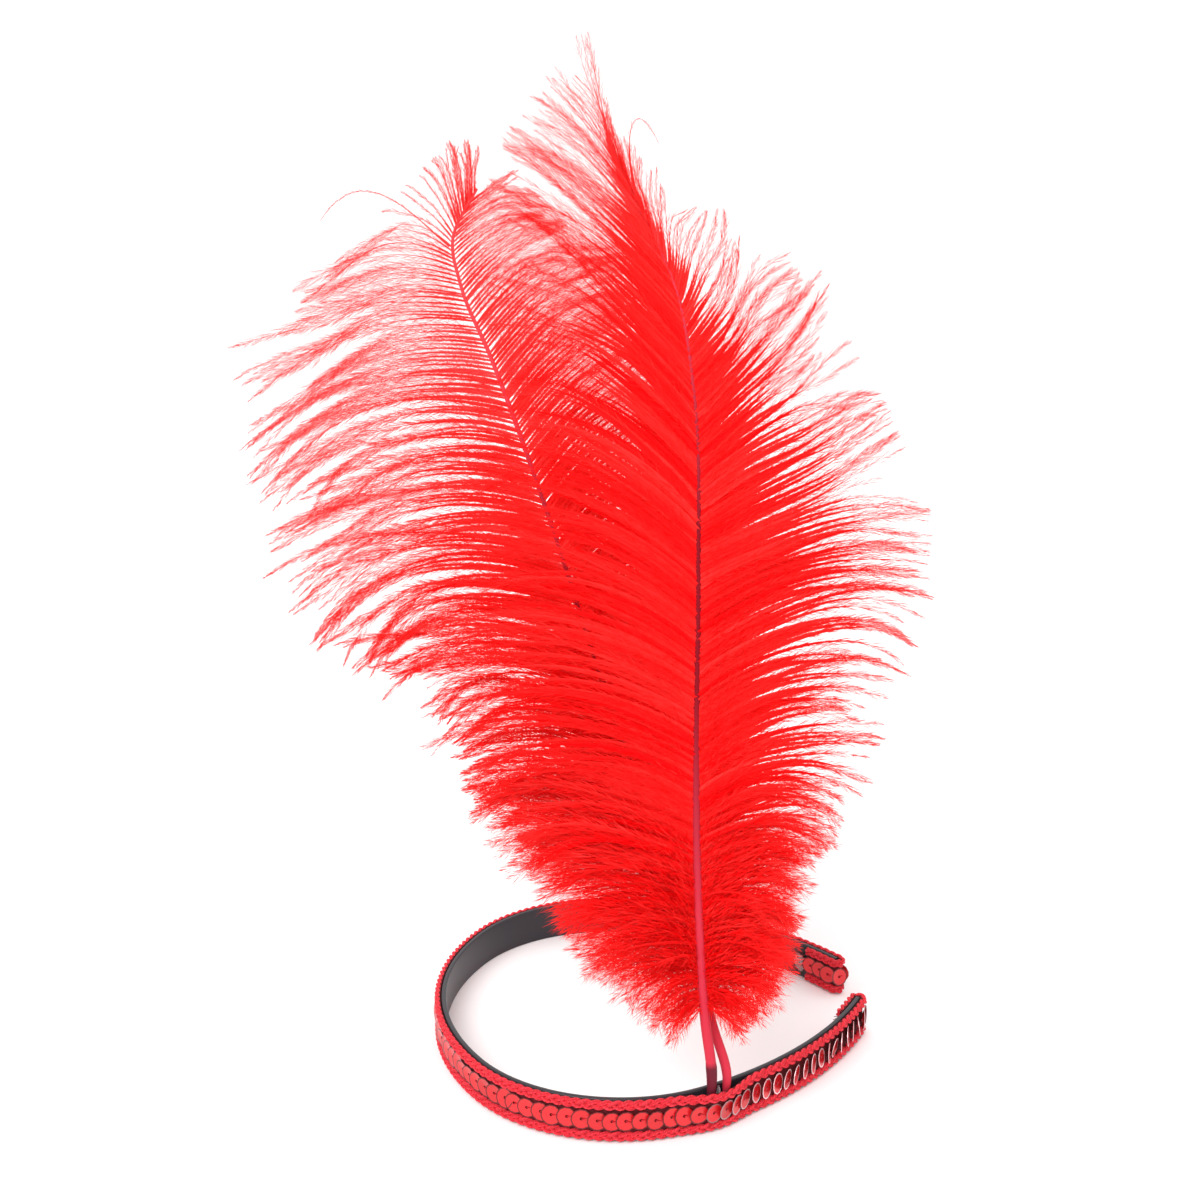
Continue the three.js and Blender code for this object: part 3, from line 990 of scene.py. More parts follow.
@dataclass
class SequinRow:
    """Overlapping sequins on a thread along the middle of the trim.

    Lengths are in mm, leans and nods in degrees, the spin in radians. Sequins past front_from lean
    more and carry a painted highlight on their rims, the others a painted shadow there, and those on the
    inside returns lean as at run_of_returns.
    """

    route: TrimRoute
    diameter: float = 5.5
    hole: float = 0.42
    thickness: float = 0.14
    cup: float = 0.25
    rim: float = 0.12
    sides: int = 12
    # The share of the rim colour, painted shadow or painted highlight, on each ring of the disc's faces.
    edges: tuple[float, ...] = (0.0, 1.0, 1.0, 0.0, 0.6)
    pitch: float = 3.8
    pitch_spread: float = 0.25
    stand_off: float = 1.6
    height: float = 6.0
    height_spread: float = 0.1
    lean: float = 8.5
    lean_front: float = 19.0
    lean_spread: float = 2.4
    lean_spread_front: float = 2.0
    lean_rise: float = 0.9
    nod_spread: float = 4.0
    nod_spread_front: float = 1.0
    spin: float = 0.3
    sight: float = 0.5
    front_from: float = 105.0
    front_over: float = 25.0
    run_of_returns: float = 120.0
    size_spread: float = 0.02
    shade: float = 0.7
    shade_spread: float = 0.25
    thread: float = 0.13
    thread_sides: int = 5
    stitch: tuple[tuple[float, float], ...] = (
        (0.0, -0.35), (0.05, 0.12), (0.45, 0.26), (1.1, 0.2), (1.7, 0.05))
    seed: int = 7

    def disc(self, bench: Workbench) -> Object:
        """Make one sequin, flat on its back: a cupped ring with a hole for the thread.

        Args:
            bench: The workbench.

        Returns:
            The sequin, to be copied.
        """
        radius = self.diameter / 2
        half = self.thickness / 2
        inner = 1 - self.rim
        profile = ((self.hole, -half), (radius, self.cup - half), (radius, self.cup + half),
                   (inner * radius, inner * self.cup + half), (self.hole, half))
        angles = np.linspace(0, TURN, self.sides, endpoint=False)
        rings = np.array([[(r * math.cos(a), r * math.sin(a), z) for a in angles] for r, z in profile])
        faces = []
        for i in range(len(profile)):
            near, far = i * self.sides, (i + 1) % len(profile) * self.sides
            for j in range(self.sides):
                k = (j + 1) % self.sides
                faces.append([near + k, near + j, far + j, far + k])
        mesh = bpy.data.meshes.new("sequin")
        mesh.from_pydata((rings.reshape(-1, 3) * MM).tolist(), [], faces)
        mesh.shade_flat()
        # The edge attribute says where the rim's painted shadow or painted highlight goes.
        edge = mesh.attributes.new("edge", "FLOAT", "FACE")
        edge.data.foreach_set("value", np.repeat(self.edges, self.sides).astype(np.float32))
        return bench.show("sequin", mesh)

    def tree(self) -> GeometryNodeTree:
        """Build the tree that sets a sequin at each point, turned and shaded as the point says.

        Returns:
            The tree.
        """
        graph = GrowthTree("sequins", Sequin="Object", Material="Material")
        feeds = {"Euler": graph.attribute("turn", "FLOAT_VECTOR")}
        turn = graph.out("FunctionNodeEulerToRotation", feeds, "Rotation")
        scale = graph.attribute("size", "FLOAT_VECTOR")
        copies = graph.copies(graph.given["Geometry"], "Sequin", turn, scale)
        # gleam is each sequin's share of painted highlight on its rim, against painted shadow.
        for label in ("shade", "gleam"):
            copies = graph.store(copies, label, graph.attribute(label), "INSTANCE")
        return graph.finish(copies)

    def tilted(self, stations: TrimRoute, lean: np.ndarray, nod: np.ndarray,
               rng: np.random.Generator) -> list[Matrix]:
        """Turn each sequin along the row, and lean it on the next.

        Args:
            stations: Where the sequins are.
            lean: Their lean along the row.
            nod: Their lean up or down.
            rng: The source of chance.

        Returns:
            A turn for each, whose columns are its ways ahead, up and away.
        """
        before, beyond = (self.route.at(stations.along + step).place(self.stand_off, self.height)
                          for step in (-self.sight, self.sight))
        turns = []
        for i, ahead in enumerate(unit(beyond - before)):
            forward = Vector(ahead)
            up = Vector((*stations.outward[i], 0.0)).cross(forward).normalized()
            away = forward.cross(up).normalized()
            tilt = Euler((nod[i], lean[i], rng.uniform(-self.spin, self.spin)), "XYZ").to_matrix()
            turns.append(Matrix((forward, up, away)).transposed() @ tilt)
        return turns

    def build(self, bench: Workbench, finish: SequinFinish, yarn_tree: GeometryNodeTree,
              yarn: Material) -> None:
        """Set the sequins along the route.

        Args:
            bench: The workbench.
            finish: Their foil.
            yarn_tree: The tree that swells lines into yarns.
            yarn: The thread's finish.
        """
        rng = np.random.default_rng(self.seed)
        count = int(self.route.along[-1] / self.pitch)
        alongs = (np.arange(count) + 0.5) * self.pitch + rng.normal(0, self.pitch_spread, count)
        stations = self.route.at(alongs)
        runs = np.nan_to_num(stations.run, nan=self.run_of_returns)
        after = ramp(runs, self.front_from, self.front_over)
        usual = self.lean + (self.lean_front - self.lean) * after
        uneven = rng.normal(0, 1, count) * (self.lean_spread + self.lean_spread_front * after)
        lean = np.radians(usual + uneven)
        nod = np.radians(rng.normal(0, 1, count) * (self.nod_spread + self.nod_spread_front * after))
        turns = self.tilted(stations, lean, nod, rng)
        rise = self.diameter / 2 * np.sin(lean) * self.lean_rise
        heights = self.height + rng.normal(0, self.height_spread, count)
        points = stations.place(self.stand_off + rise, heights)
        size = rng.normal(1.0, self.size_spread, (count, 1, 1)) * np.ones((1, 1, 3))
        shade = np.clip(rng.normal(self.shade, self.shade_spread, (count, 1)), 0, 1)
        # The share of painted highlight on each rim, rising past front_from; the rest, and the returns, get
        # painted shadow.
        gleam = np.where(np.isnan(stations.run), 0.0, after)[:, None]
        eulers = np.array([tuple(turn.to_euler("XYZ")) for turn in turns])[:, None]
        columns = {"turn": eulers, "size": size, "shade": shade, "gleam": gleam}
        source = bench.strands("sequin_points", points[:, None], columns)
        disc = self.disc(bench)
        inputs = {"Sequin": disc, "Material": finish.material()}
        row = bench.grown("sequin_row", source, self.tree(), inputs)
        bpy.data.objects.remove(disc)
        settle(row, "sequin", "sequins")
        self.sew(bench, points, turns, yarn_tree, yarn)

    def sew(self, bench: Workbench, points: np.ndarray, turns: list[Matrix],
            tree: GeometryNodeTree, yarn: Material) -> None:
        """Lay the thread that comes up through each hole and runs on under the next sequin.

        Args:
            bench: The workbench.
            points: The holes.
            turns: The turn of each sequin.
            tree: The tree that swells lines into yarns.
            yarn: The thread's finish.
        """
        ahead, away = (np.array([tuple(turn.col[i]) for turn in turns]) for i in (0, 2))
        paths = np.stack([points + ahead * on + away * out for on, out in self.stitch], axis=1)
        lines = bench.strands("thread_lines", paths, {})
        inputs = {"Radius": self.thread * MM, "Sides": self.thread_sides, "Material": yarn}
        settle(bench.grown("sequin_thread", lines, tree, inputs), "braid")


@dataclass(frozen=True)
class ShaftRow:
    """A place on a plume's shaft, in mm, with its radius."""

    z: float
    x: float
    y: float
    r: float


@dataclass(frozen=True)
class BarbRow:
    """A barb that shapes a vane, in mm: its root's height, the reach of its tip, its arch and sweep."""

    root: float
    out: float
    up: float
    arch: float
    back: float


@dataclass(frozen=True)
class LooseBarb:
    """A single barb that stands away from its vane, by the four points that bend it, in plan mm."""

    start: Point
    lead: Point
    bow: Point
    end: Point

    def path(self, share: np.ndarray) -> np.ndarray:
        """Draw the barb.

        Args:
            share: Places along it, from root to tip.

        Returns:
            A point at each.
        """
        t = share[:, None]
        first = (1 - t) ** 3 * np.array(self.start) + 3 * t * (1 - t) ** 2 * np.array(self.lead)
        return first + 3 * t**2 * (1 - t) * np.array(self.bow) + t**3 * np.array(self.end)


@dataclass
class Shaft:
    """A plume's bare quill and shaft, from its foot in the pocket to its tip.

    Lengths are in mm, the groove's depth is a share of the radius and its angle in radians.
    """

    name: str
    node: str
    foot_run: float
    rows: tuple[ShaftRow, ...]
    dipped: float
    pale_above: float
    feet: tuple[tuple[float, float], ...] = ((4.5, 0.6), (10.0, 1.0), (14.0, 1.2))
    slack: float = 0.45
    glue_swell: float = 1.12
    glue_edge: float = 0.8
    deep_above: float = 55.0
    deep_over: float = 60.0
    pale_over: float = 50.0
    groove: float = 0.06
    groove_angle: float = 0.5
    stations: int = 150
    sides: int = 12

    def table(self, plan: BandPlan) -> Table:
        """Read the whole shaft, with its foot against the band.

        Args:
            plan: The band's plan.

        Returns:
            Its rows by height.
        """
        place, outward = plan.at(np.array([self.foot_run]))
        feet = []
        for z, r in self.feet:
            at = place[0] + outward[0] * (plan.thickness / 2 + self.slack + r)
            feet.append(ShaftRow(z, at[0], at[1], r))
        return Table((*feet, *self.rows), "z")

    def rings(self, table: Table, heights: np.ndarray) -> np.ndarray:
        """Draw the shaft round, with the groove down its face.

        Args:
            table: The shaft's rows.
            heights: The height of each ring.

        Returns:
            Points by ring and place round it.
        """
        centre = np.stack([table.read("x", heights), table.read("y", heights), heights], axis=1)
        radius = table.read("r", heights) * np.where(heights < self.dipped, self.glue_swell, 1.0)
        ahead = unit(np.gradient(centre, axis=0))
        side = unit(np.cross([0.0, 1.0, 0.0], ahead))
        face = np.cross(ahead, side)
        angles = np.linspace(0, TURN, self.sides, endpoint=False)
        front = np.abs((angles - 1.5 * math.pi + math.pi) % TURN - math.pi)
        shape = radius[:, None] * (1 - self.groove * np.exp(-((front / self.groove_angle) ** 2)))
        across = (shape * np.cos(angles))[:, :, None] * side[:, None]
        return centre[:, None] + across + (shape * np.sin(angles))[:, :, None] * face[:, None]

    def build(self, bench: Workbench, plan: BandPlan, material: Material) -> None:
        """Make the shaft and mark its foot, deep and pale lengths on it.

        Args:
            bench: The workbench.
            plan: The band's plan.
            material: The dyed quill.
        """
        table = self.table(plan)
        heights = np.linspace(table.keys[0], table.keys[-1], self.stations)
        mesh = bench.lofted(self.name, self.rings(table, heights))
        deep = ramp(heights, self.deep_above, self.deep_over)
        columns = {"foot": np.clip((self.dipped - heights) / self.glue_edge + 0.5, 0, 1),
                   "shaft": deep * ramp(heights, self.pale_above, -self.pale_over),
                   "pale": ramp(heights, self.pale_above, self.pale_over)}
        for label, values in columns.items():
            made = mesh.attributes.new(label, "FLOAT", "POINT")
            made.data.foreach_set("value", np.repeat(values, self.sides).astype(np.float32))
        settle(bench.show(self.name, mesh, material), "quill", self.node)


@dataclass(frozen=True)
class Ruffle:
    """How unevenly barbs lie. A spread is by chance, a share of the barb's length unless it says mm."""

    root_mm: float = 0.15
    clump: float = 4.0
    clump_length: float = 0.08
    own_length: float = 0.06
    downy_length: float = 0.14
    length_limits: tuple[float, float] = (0.45, 1.08)
    gather_from: float = 0.58
    gather_from_spread: float = 0.1
    gather_from_limits: tuple[float, float] = (0.3, 0.8)
    gather: float = 0.44
    gather_spread: float = 0.22
    gather_limits: tuple[float, float] = (0.0, 0.9)
    gather_curve: float = 1.1
    downy_apart: float = 0.95
    full_apart: float = 0.4
    stray: float = 0.03375
    stray_limit: float = 0.15
    stray_curve: float = 3.0
    own_stray: float = 0.03
    own_stray_limit: float = 0.16
    own_stray_curve: float = 2.2
    stray_tail: float = 4.0
    downy_stray: float = 2.5
    wave: float = 0.026
    own_wave: float = 0.0078
    wave_turns: tuple[float, float] = (0.6, 1.4)
    wave_curve: float = 1.4
    own_phase: float = 0.4
    depth_mm: float = 3.0
    own_depth_mm: float = 1.05
    depth_curve: float = 1.2
    downy_level: float = 0.5
    root_depth_mm: float = 0.3
    root_share: float = 0.1


@dataclass(frozen=True)
class Fringe:
    """How barbules and web differ along a barb, in the down, where the vane is full, and high up it."""

    length: float = 0.55
    tip_length: float = 0.75
    tip_closes: float = 1.02
    downy_length: float = 1.2
    length_spread: float = 0.12
    sprouting: float = 0.06
    first_sprouts: float = 0.2
    shortest: float = 0.35
    splay_degrees: float = 46.0
    tip_splay_less: float = 18.0
    downy_splay: float = 25.0
    facing_spread: float = 0.22
    full_reach: float = 0.12
    downy_reach: float = 0.1
    high_reach_less: float = 0.34
    web_root: float = 0.6
    web_grown: float = 0.1
    web_curve: float = 0.8
    web_short: float = 0.6
    web_long: float = 0.4
    downy_web_less: float = 0.6
    high_web_less: float = 0.62
    web_spread: float = 0.15
    full_broad: float = 0.5
    high_broad_less: float = 0.35
    shade: float = 0.5
    shade_spread: float = 0.3
    tip_shade: float = 0.25
    downy_shade_less: float = 0.1


@dataclass
class Vane:
    """The barbs on one side of a shaft, with their barbules.

    Lengths are in mm. Where a root sits on the shaft is in shares of the shaft's radius.
    """

    node: str
    side: Side
    rows: tuple[BarbRow, ...]
    seed: int
    loose: tuple[LooseBarb, ...] = ()
    loose_length: float = 12.0
    ruffle: Ruffle = Ruffle()
    fringe: Fringe = Fringe()
    pitch: float = 1.05
    sowing_steps: int = 2000
    points: int = 17
    barb_radius: float = 0.13
    barb_taper: float = 0.72
    root_before: float = 0.74
    root_deeper: float = 0.5
    deeper_below: float = 100.0
    deeper_over: float = 45.0
    root_beside: float = 0.15
    barbule: float = 4.8
    broad_root: float = 0.2
    broad_tip: float = 0.11
    web: float = 1.1
    web_reach: float = 0.73
    thin_above: float = 160.0
    thin_over: float = 80.0
    fade_above: float = 190.0
    fade_over: float = 70.0
    downy_below: float = 86.0
    downy_over: float = 40.0
    downy_extra: float = 5.0
    tuft_above: float = 400.0
    tuft_extra: float = 2.0
    full_below: float = 140.0
    full_over: float = 60.0
    full_chord: float = 40.0
    triangles: int = 188000
    step_triangles: int = 10
    end_triangles: int = 2

    @property
    def shares(self) -> np.ndarray:
        """Places along a barb, from 0 at its root to 1 at its tip."""
        return np.linspace(0, 1, self.points)[None]

    def downy(self, roots: np.ndarray) -> np.ndarray:
        """Say how downy the vane is at these roots, from none to wholly."""
        return ramp(roots, self.downy_below, -self.downy_over)

    def full(self, roots: np.ndarray) -> np.ndarray:
        """Say how closely the barbs lie out to their tips at these roots, from none to wholly."""
        return ramp(roots, self.full_below, -self.full_over)

    def sown(self, rng: np.random.Generator) -> np.ndarray:
        """Space the barbs up the shaft, closer in the down and in a tuft.

        Args:
            rng: The source of chance.

        Returns:
            Their roots' heights, rising.
        """
        fine = np.linspace(self.rows[0].root, self.rows[-1].root, self.sowing_steps)
        thick_set = 1 + self.downy_extra * self.downy(fine) + self.tuft_extra * (fine > self.tuft_above)
        rate = np.cumsum(thick_set / self.pitch) * (fine[1] - fine[0])
        count = int(rate[-1])
        roots = np.interp(np.linspace(0, rate[-1], count), rate, fine)
        return np.sort(roots + rng.normal(0, self.ruffle.root_mm, count))

    def clumps(self, roots: np.ndarray, rng: np.random.Generator) -> tuple[np.ndarray, np.ndarray]:
        """Sort neighbouring barbs into clumps of uneven size.

        Args:
            roots: The barbs' roots.
            rng: The source of chance.

        Returns:
            Each barb's clump number, and each clump's middle root.
        """
        sizes = np.maximum(1, rng.gamma(2.0, self.ruffle.clump / 2.0, len(roots)).astype(int))
        member = np.repeat(np.arange(len(sizes)), sizes)[: len(roots)]
        middles = np.array([roots[member == k].mean() for k in range(member.max() + 1)])
        return member, middles

    def paths(self, shaft: Table, roots: np.ndarray, reach: np.ndarray) -> np.ndarray:
        """Draw barbs by the table.

        Args:
            shaft: The shaft that they grow from.
            roots: Their roots' heights.
            reach: Points along each barb, as shares of its length.

        Returns:
            Plan places by barb and point.
        """
        table = Table(self.rows, "root")
        out, up, arch, back = (table.read(name, roots)[:, None] for name in ("out", "up", "arch", "back"))
        radius = shaft.read("r", roots)
        before = self.root_before - self.root_deeper * ramp(roots, self.deeper_below, -self.deeper_over)
        beside = shaft.read("x", roots) + self.side.value * self.root_beside * radius
        start = np.stack([beside, shaft.read("y", roots) - before * radius, roots], axis=1)
        x = self.side.value * out * reach
        y = back * reach**2
        z = up * reach + 4 * arch * reach * (1 - reach)
        return start[:, None] + np.stack([x, y, z], axis=2)

    def gathered(self, shaft: Table, roots: np.ndarray, member: np.ndarray, middles: np.ndarray,
                 rng: np.random.Generator) -> np.ndarray:
        """Draw the barbs at uneven lengths, and draw the tips of each clump together.

        Args:
            shaft: The shaft that they grow from.
            roots: Their roots' heights.
            member: Each barb's clump number.
            middles: Each clump's middle root.
            rng: The source of chance.

        Returns:
            Plan places by barb and point.
        """
        loose, u, downy, clumps = self.ruffle, self.shares, self.downy(roots), len(middles)
        uneven = rng.normal(1.0, loose.clump_length, clumps)[member]
        uneven = uneven + rng.normal(0, 1, len(roots)) * (loose.own_length + loose.downy_length * downy)
        reach = u * np.clip(uneven, *loose.length_limits)[:, None]
        own = self.paths(shaft, roots, reach)
        shared = self.paths(shaft, middles[member], reach)
        since = rng.normal(loose.gather_from, loose.gather_from_spread, clumps)
        since = np.clip(since, *loose.gather_from_limits)[member][:, None]
        pull = np.clip(rng.normal(loose.gather, loose.gather_spread, clumps), *loose.gather_limits)[member]
        pull = pull * (1 - loose.downy_apart * downy - loose.full_apart * self.full(roots) * (1 - downy))
        closing = np.clip((u - since) / (1 - since), 0, 1) ** loose.gather_curve
        together = closing * np.maximum(pull, 0)[:, None]
        return own + (shared - own) * together[:, :, None]

    def ruffled(self, path: np.ndarray, chord: np.ndarray, downy: np.ndarray, member: np.ndarray,
                rng: np.random.Generator) -> np.ndarray:
        """Bend and ripple the barbs in the vane's face, and spread them through its depth.

        Args:
            path: The barbs.
            chord: Their lengths.
            downy: How downy each is.
            member: Each barb's clump number.
            rng: The source of chance.

        Returns:
            The barbs as they then lie.
        """
        loose, u, count, clumps = self.ruffle, self.shares, len(path), member.max() + 1
        astray = loose.stray * rng.standard_t(loose.stray_tail, clumps)
        astray = np.clip(astray, -loose.stray_limit, loose.stray_limit)[member]
        alone = loose.own_stray * rng.standard_t(loose.stray_tail, count)
        limit = loose.own_stray_limit
        alone = np.clip(alone, -limit, limit) * (1 + loose.downy_stray * downy)
        across = np.cross(unit(np.gradient(path, axis=1)), [0.0, 1.0, 0.0])
        bend = astray[:, None] * u**loose.stray_curve + alone[:, None] * u**loose.own_stray_curve
        phase = rng.uniform(0, TURN, clumps)[member] + rng.normal(0, loose.own_phase, count)
        swing = np.abs(rng.normal(0, loose.wave, clumps))[member]
        swing = swing + np.abs(rng.normal(0, loose.own_wave, count))
        turns = TURN * rng.uniform(*loose.wave_turns, clumps)[member]
        ripple = swing[:, None] * u**loose.wave_curve * np.sin(phase[:, None] + turns[:, None] * u)
        path = path + across * (chord[:, None] * (bend + ripple))[:, :, None]
        depth = rng.normal(0, loose.depth_mm, clumps)[member] * (1 - loose.downy_level * downy)
        depth = depth + rng.normal(0, loose.own_depth_mm, count) * (1 + loose.downy_stray * downy)
        at_root = rng.normal(0, loose.root_depth_mm, count)[:, None] * np.clip(u / loose.root_share, 0, 1)
        path[:, :, 1] += depth[:, None] * u**loose.depth_curve + at_root
        return path

    def barbs(self, shaft: Table) -> tuple[np.ndarray, dict[str, np.ndarray]]:
        """Grow the barbs, gathered in clumps and ruffled, and lay the loose ones by them.

        Args:
            shaft: The shaft that they grow from.

        Returns:
            Plan places by barb and point, and what the barbules need to know at each.
        """
        rng = np.random.default_rng(self.seed)
        roots = self.sown(rng)
        member, middles = self.clumps(roots, rng)
        path = self.gathered(shaft, roots, member, middles, rng)
        chord = np.linalg.norm(path[:, -1] - path[:, 0], axis=1)
        path = self.ruffled(path, chord, self.downy(roots), member, rng)
        if self.loose:
            laid = np.array([barb.path(self.shares[0]) for barb in self.loose])
            path = np.concatenate([path, laid])
            roots = np.append(roots, laid[:, 0, 2])
            chord = np.append(chord, np.full(len(laid), self.loose_length))
        return path, self.notes(path, roots, chord, rng)

    def notes(self, path: np.ndarray, roots: np.ndarray, chord: np.ndarray,
              rng: np.random.Generator) -> dict[str, np.ndarray]:
        """Say how the barbules grow at each point of the barbs.

        Args:
            path: The barbs.
            roots: Their roots' heights.
            chord: Their lengths.
            rng: The source of chance.

        Returns:
            Facing, barbule length and splay, barb thickness, web and shade, by barb and point.
        """
        fringe, u, count = self.fringe, self.shares, len(roots)
        downy, full = self.downy(roots)[:, None], self.full(roots)[:, None]
        high = ramp(roots, self.thin_above, self.thin_over)[:, None]
        short = np.clip(chord / self.full_chord, fringe.shortest, 1.0)[:, None]
        along = unit(np.gradient(path, axis=1))
        facing = np.array([0.0, -1.0, 0.0]) + rng.normal(0, fringe.facing_spread, (count, 1, 3))
        facing = unit(facing - along * (along * facing).sum(2, keepdims=True))
        profile = (fringe.length + fringe.tip_length * u) * np.sqrt(np.clip(fringe.tip_closes - u**4, 0, 1))
        barbule = self.barbule * profile * short * (1 + fringe.downy_length * downy)
        barbule = barbule * rng.normal(1, fringe.length_spread, (count, 1))
        barbule = barbule * np.clip(u / fringe.sprouting, fringe.first_sprouts, 1)
        splay = fringe.splay_degrees - fringe.tip_splay_less * u + fringe.downy_splay * downy
        splay = np.radians(splay) * np.ones((count, 1))
        held = self.web * (1 - fringe.downy_web_less * downy - fringe.high_web_less * high)
        held = held * (fringe.web_short + fringe.web_long * short)
        held = held * rng.normal(1, fringe.web_spread, (count, 1))
        grown = np.clip(fringe.web_root + u / fringe.web_grown, 0, 1)
        reach = self.web_reach + fringe.full_reach * full + fringe.downy_reach * downy
        reach = reach - fringe.high_reach_less * high
        web = held * grown * np.clip(1 - u / reach, 0, 1) ** fringe.web_curve
        broad = self.broad_root + (self.broad_tip - self.broad_root) * u
        broad = broad * (1 + fringe.full_broad * full - fringe.high_broad_less * high)
        thick = self.barb_radius * (1.0 - self.barb_taper * u) * np.ones((count, 1))
        shade = rng.normal(fringe.shade, fringe.shade_spread, (count, 1))
        shade = shade + fringe.tip_shade * (u - 0.5) - fringe.downy_shade_less * downy
        shade = np.clip(shade, 0, 1) + ramp(roots, self.fade_above, self.fade_over)[:, None]
        return {"facing": facing, "barbule": barbule * MM, "splay": splay, "thick": thick * MM,
                "broad": broad * MM, "web": np.maximum(web, 0.0) * MM, "shade": shade}

    def build(self, bench: Workbench, shaft: Table, tree: GeometryNodeTree,
              barbule: Object, material: Material) -> None:
        """Grow the vane, with as many barbules as its count of triangles allows.

        Args:
            bench: The workbench.
            shaft: The shaft that it grows from.
            tree: The tree that grows barbules.
            barbule: One barbule, to be copied.
            material: The dyed barbs.
        """
        path, columns = self.barbs(shaft)
        total = np.linalg.norm(np.diff(path, axis=1), axis=2).sum()
        lines = bench.strands(f"{self.node}_lines", path, columns)
        bare = len(path) * ((self.points - 1) * self.step_triangles + self.end_triangles)
        spacing = total * len(barbule.data.loop_triangles) / (self.triangles - bare)
        inputs = {"Barbule": barbule, "Spacing": spacing * MM, "Seed": self.seed, "Material": material}
        settle(bench.grown(f"{self.node}_strands", lines, tree, inputs), "plume", self.node)


@dataclass
class Plumage:
    """What the two plumes share: the barbule and the tree that grows barbules on barbs."""

    bend: float = 0.3
    fan: float = 55.0
    splay_spread: tuple[float, float] = (0.55, 1.45)
    length_spread: tuple[float, float] = (0.6, 1.35)
    shade_spread: tuple[float, float] = (-0.15, 0.25)

    def barbule(self, bench: Workbench) -> Object:
        """Make one barbule of unit size: a sliver that bends on towards the barb's tip.

        Args:
            bench: The workbench.

        Returns:
            The barbule, to be copied.
        """
        rise = 0.2 * self.bend
        points = [(0, 0, 0), (0.45, 0.5, rise), (0.45, -0.5, rise), (1, 0, self.bend)]
        mesh = bpy.data.meshes.new("barbule")
        mesh.from_pydata(points, [], [[0, 2, 1], [2, 3, 1]])
        mesh.calc_loop_triangles()
        return bench.show("barbule", mesh)

    def tubes(self, graph: GrowthTree, line: Socket) -> Socket:
        """Swell the barbs into thin tubes.

        Args:
            graph: The tree.
            line: The barbs.

        Returns:
            The tubes.
        """
        ring = graph.out("GeometryNodeCurvePrimitiveCircle", {"Resolution": 3, "Radius": 1.0}, "Curve")
        feeds = {"Curve": line, "Profile Curve": ring, "Scale": graph.attribute("thick"), "Fill Caps": True}
        return graph.smooth(graph.out("GeometryNodeCurveToMesh", feeds, "Mesh"))

    def webs(self, graph: GrowthTree, line: Socket, facing: Socket) -> Socket:
        """Lay the close web along each barb, like a low roof.

        Args:
            graph: The tree.
            line: The barbs.
            facing: The way that they face.

        Returns:
            The webs.
        """
        feeds = {"Curve": line, "Normal": facing}
        turned = graph.out("GeometryNodeSetCurveNormal", feeds, "Curve", mode="FREE")
        feeds = {"Resolution": 2, "Start": (-0.25, -1.0, 0.0), "Middle": (0.1, 0.0, 0.0),
                 "End": (-0.25, 1.0, 0.0)}
        roof = graph.out("GeometryNodeCurveQuadraticBezier", feeds, "Curve")
        feeds = {"Curve": turned, "Profile Curve": roof, "Scale": graph.attribute("web")}
        return graph.out("GeometryNodeCurveToMesh", feeds, "Mesh")

    def barbules(self, graph: GrowthTree, line: Socket, facing: Socket) -> Socket:
        """Sprout barbules on both sides of the barbs.

        Args:
            graph: The tree.
            line: The barbs.
            facing: The way that they face.

        Returns:
            The barbules, each with its shade.
        """
        feeds = {"Curve": line, "Length": graph.given["Spacing"]}
        sprouts = graph.out("GeometryNodeResampleCurve", feeds, "Curve", mode="LENGTH")
        seed = graph.given["Seed"]
        fan_seed, splay_seed, length_seed, shade_seed = (
            graph.number("ADD", seed, step) for step in (11.0, 23.0, 37.0, 53.0))
        ahead = graph.out("GeometryNodeInputTangent", {}, "Tangent")
        across = graph.vector("NORMALIZE", graph.vector("CROSS_PRODUCT", ahead, facing))
        hand = graph.number("SIGN", graph.random(-1.0, 1.0, seed))
        widest = math.radians(self.fan)
        fan = graph.random(-widest, widest, fan_seed)
        jitter = graph.random(*self.splay_spread, splay_seed)
        splay = graph.number("MULTIPLY", graph.attribute("splay"), jitter)
        flat = graph.vector("SCALE", across, graph.number("MULTIPLY", hand, graph.number("COSINE", fan)))
        raised = graph.vector("SCALE", facing, graph.number("SINE", fan))
        sideways = graph.vector("SCALE", graph.vector("ADD", flat, raised), graph.number("SINE", splay))
        way = graph.vector("ADD", graph.vector("SCALE", ahead, graph.number("COSINE", splay)), sideways)
        aimed = graph.out("FunctionNodeAlignRotationToVector", {"Vector": way}, "Rotation", axis="X")
        feeds = {"Rotation": aimed, "Vector": ahead}
        rolled = graph.out("FunctionNodeAlignRotationToVector", feeds, "Rotation", axis="Z", pivot_axis="X")
        stretch = graph.random(*self.length_spread, length_seed)
        length = graph.number("MULTIPLY", graph.attribute("barbule"), stretch)
        feeds = {"X": length, "Y": graph.attribute("broad"), "Z": length}
        scale = graph.out("ShaderNodeCombineXYZ", feeds, "Vector")
        copies = graph.copies(sprouts, "Barbule", rolled, scale)
        varied = graph.number("ADD", graph.attribute("shade"), graph.random(*self.shade_spread, shade_seed))
        return graph.store(copies, "shade", varied, "INSTANCE")

    def tree(self) -> GeometryNodeTree:
        """Build the tree: barbs swell into thin tubes with webs, and barbules sprout on both sides.

        Returns:
            The tree.
        """
        graph = GrowthTree("barbules", Barbule="Object", Spacing="Float", Seed="Int", Material="Material")
        line = graph.line()
        facing = graph.attribute("facing", "FLOAT_VECTOR")
        parts = (self.tubes(graph, line), self.webs(graph, line, facing), self.barbules(graph, line, facing))
        both = graph.add("GeometryNodeJoinGeometry", {})
        for part in parts:
            graph.tree.links.new(part, both.inputs[0])
        return graph.finish(both.outputs[0])


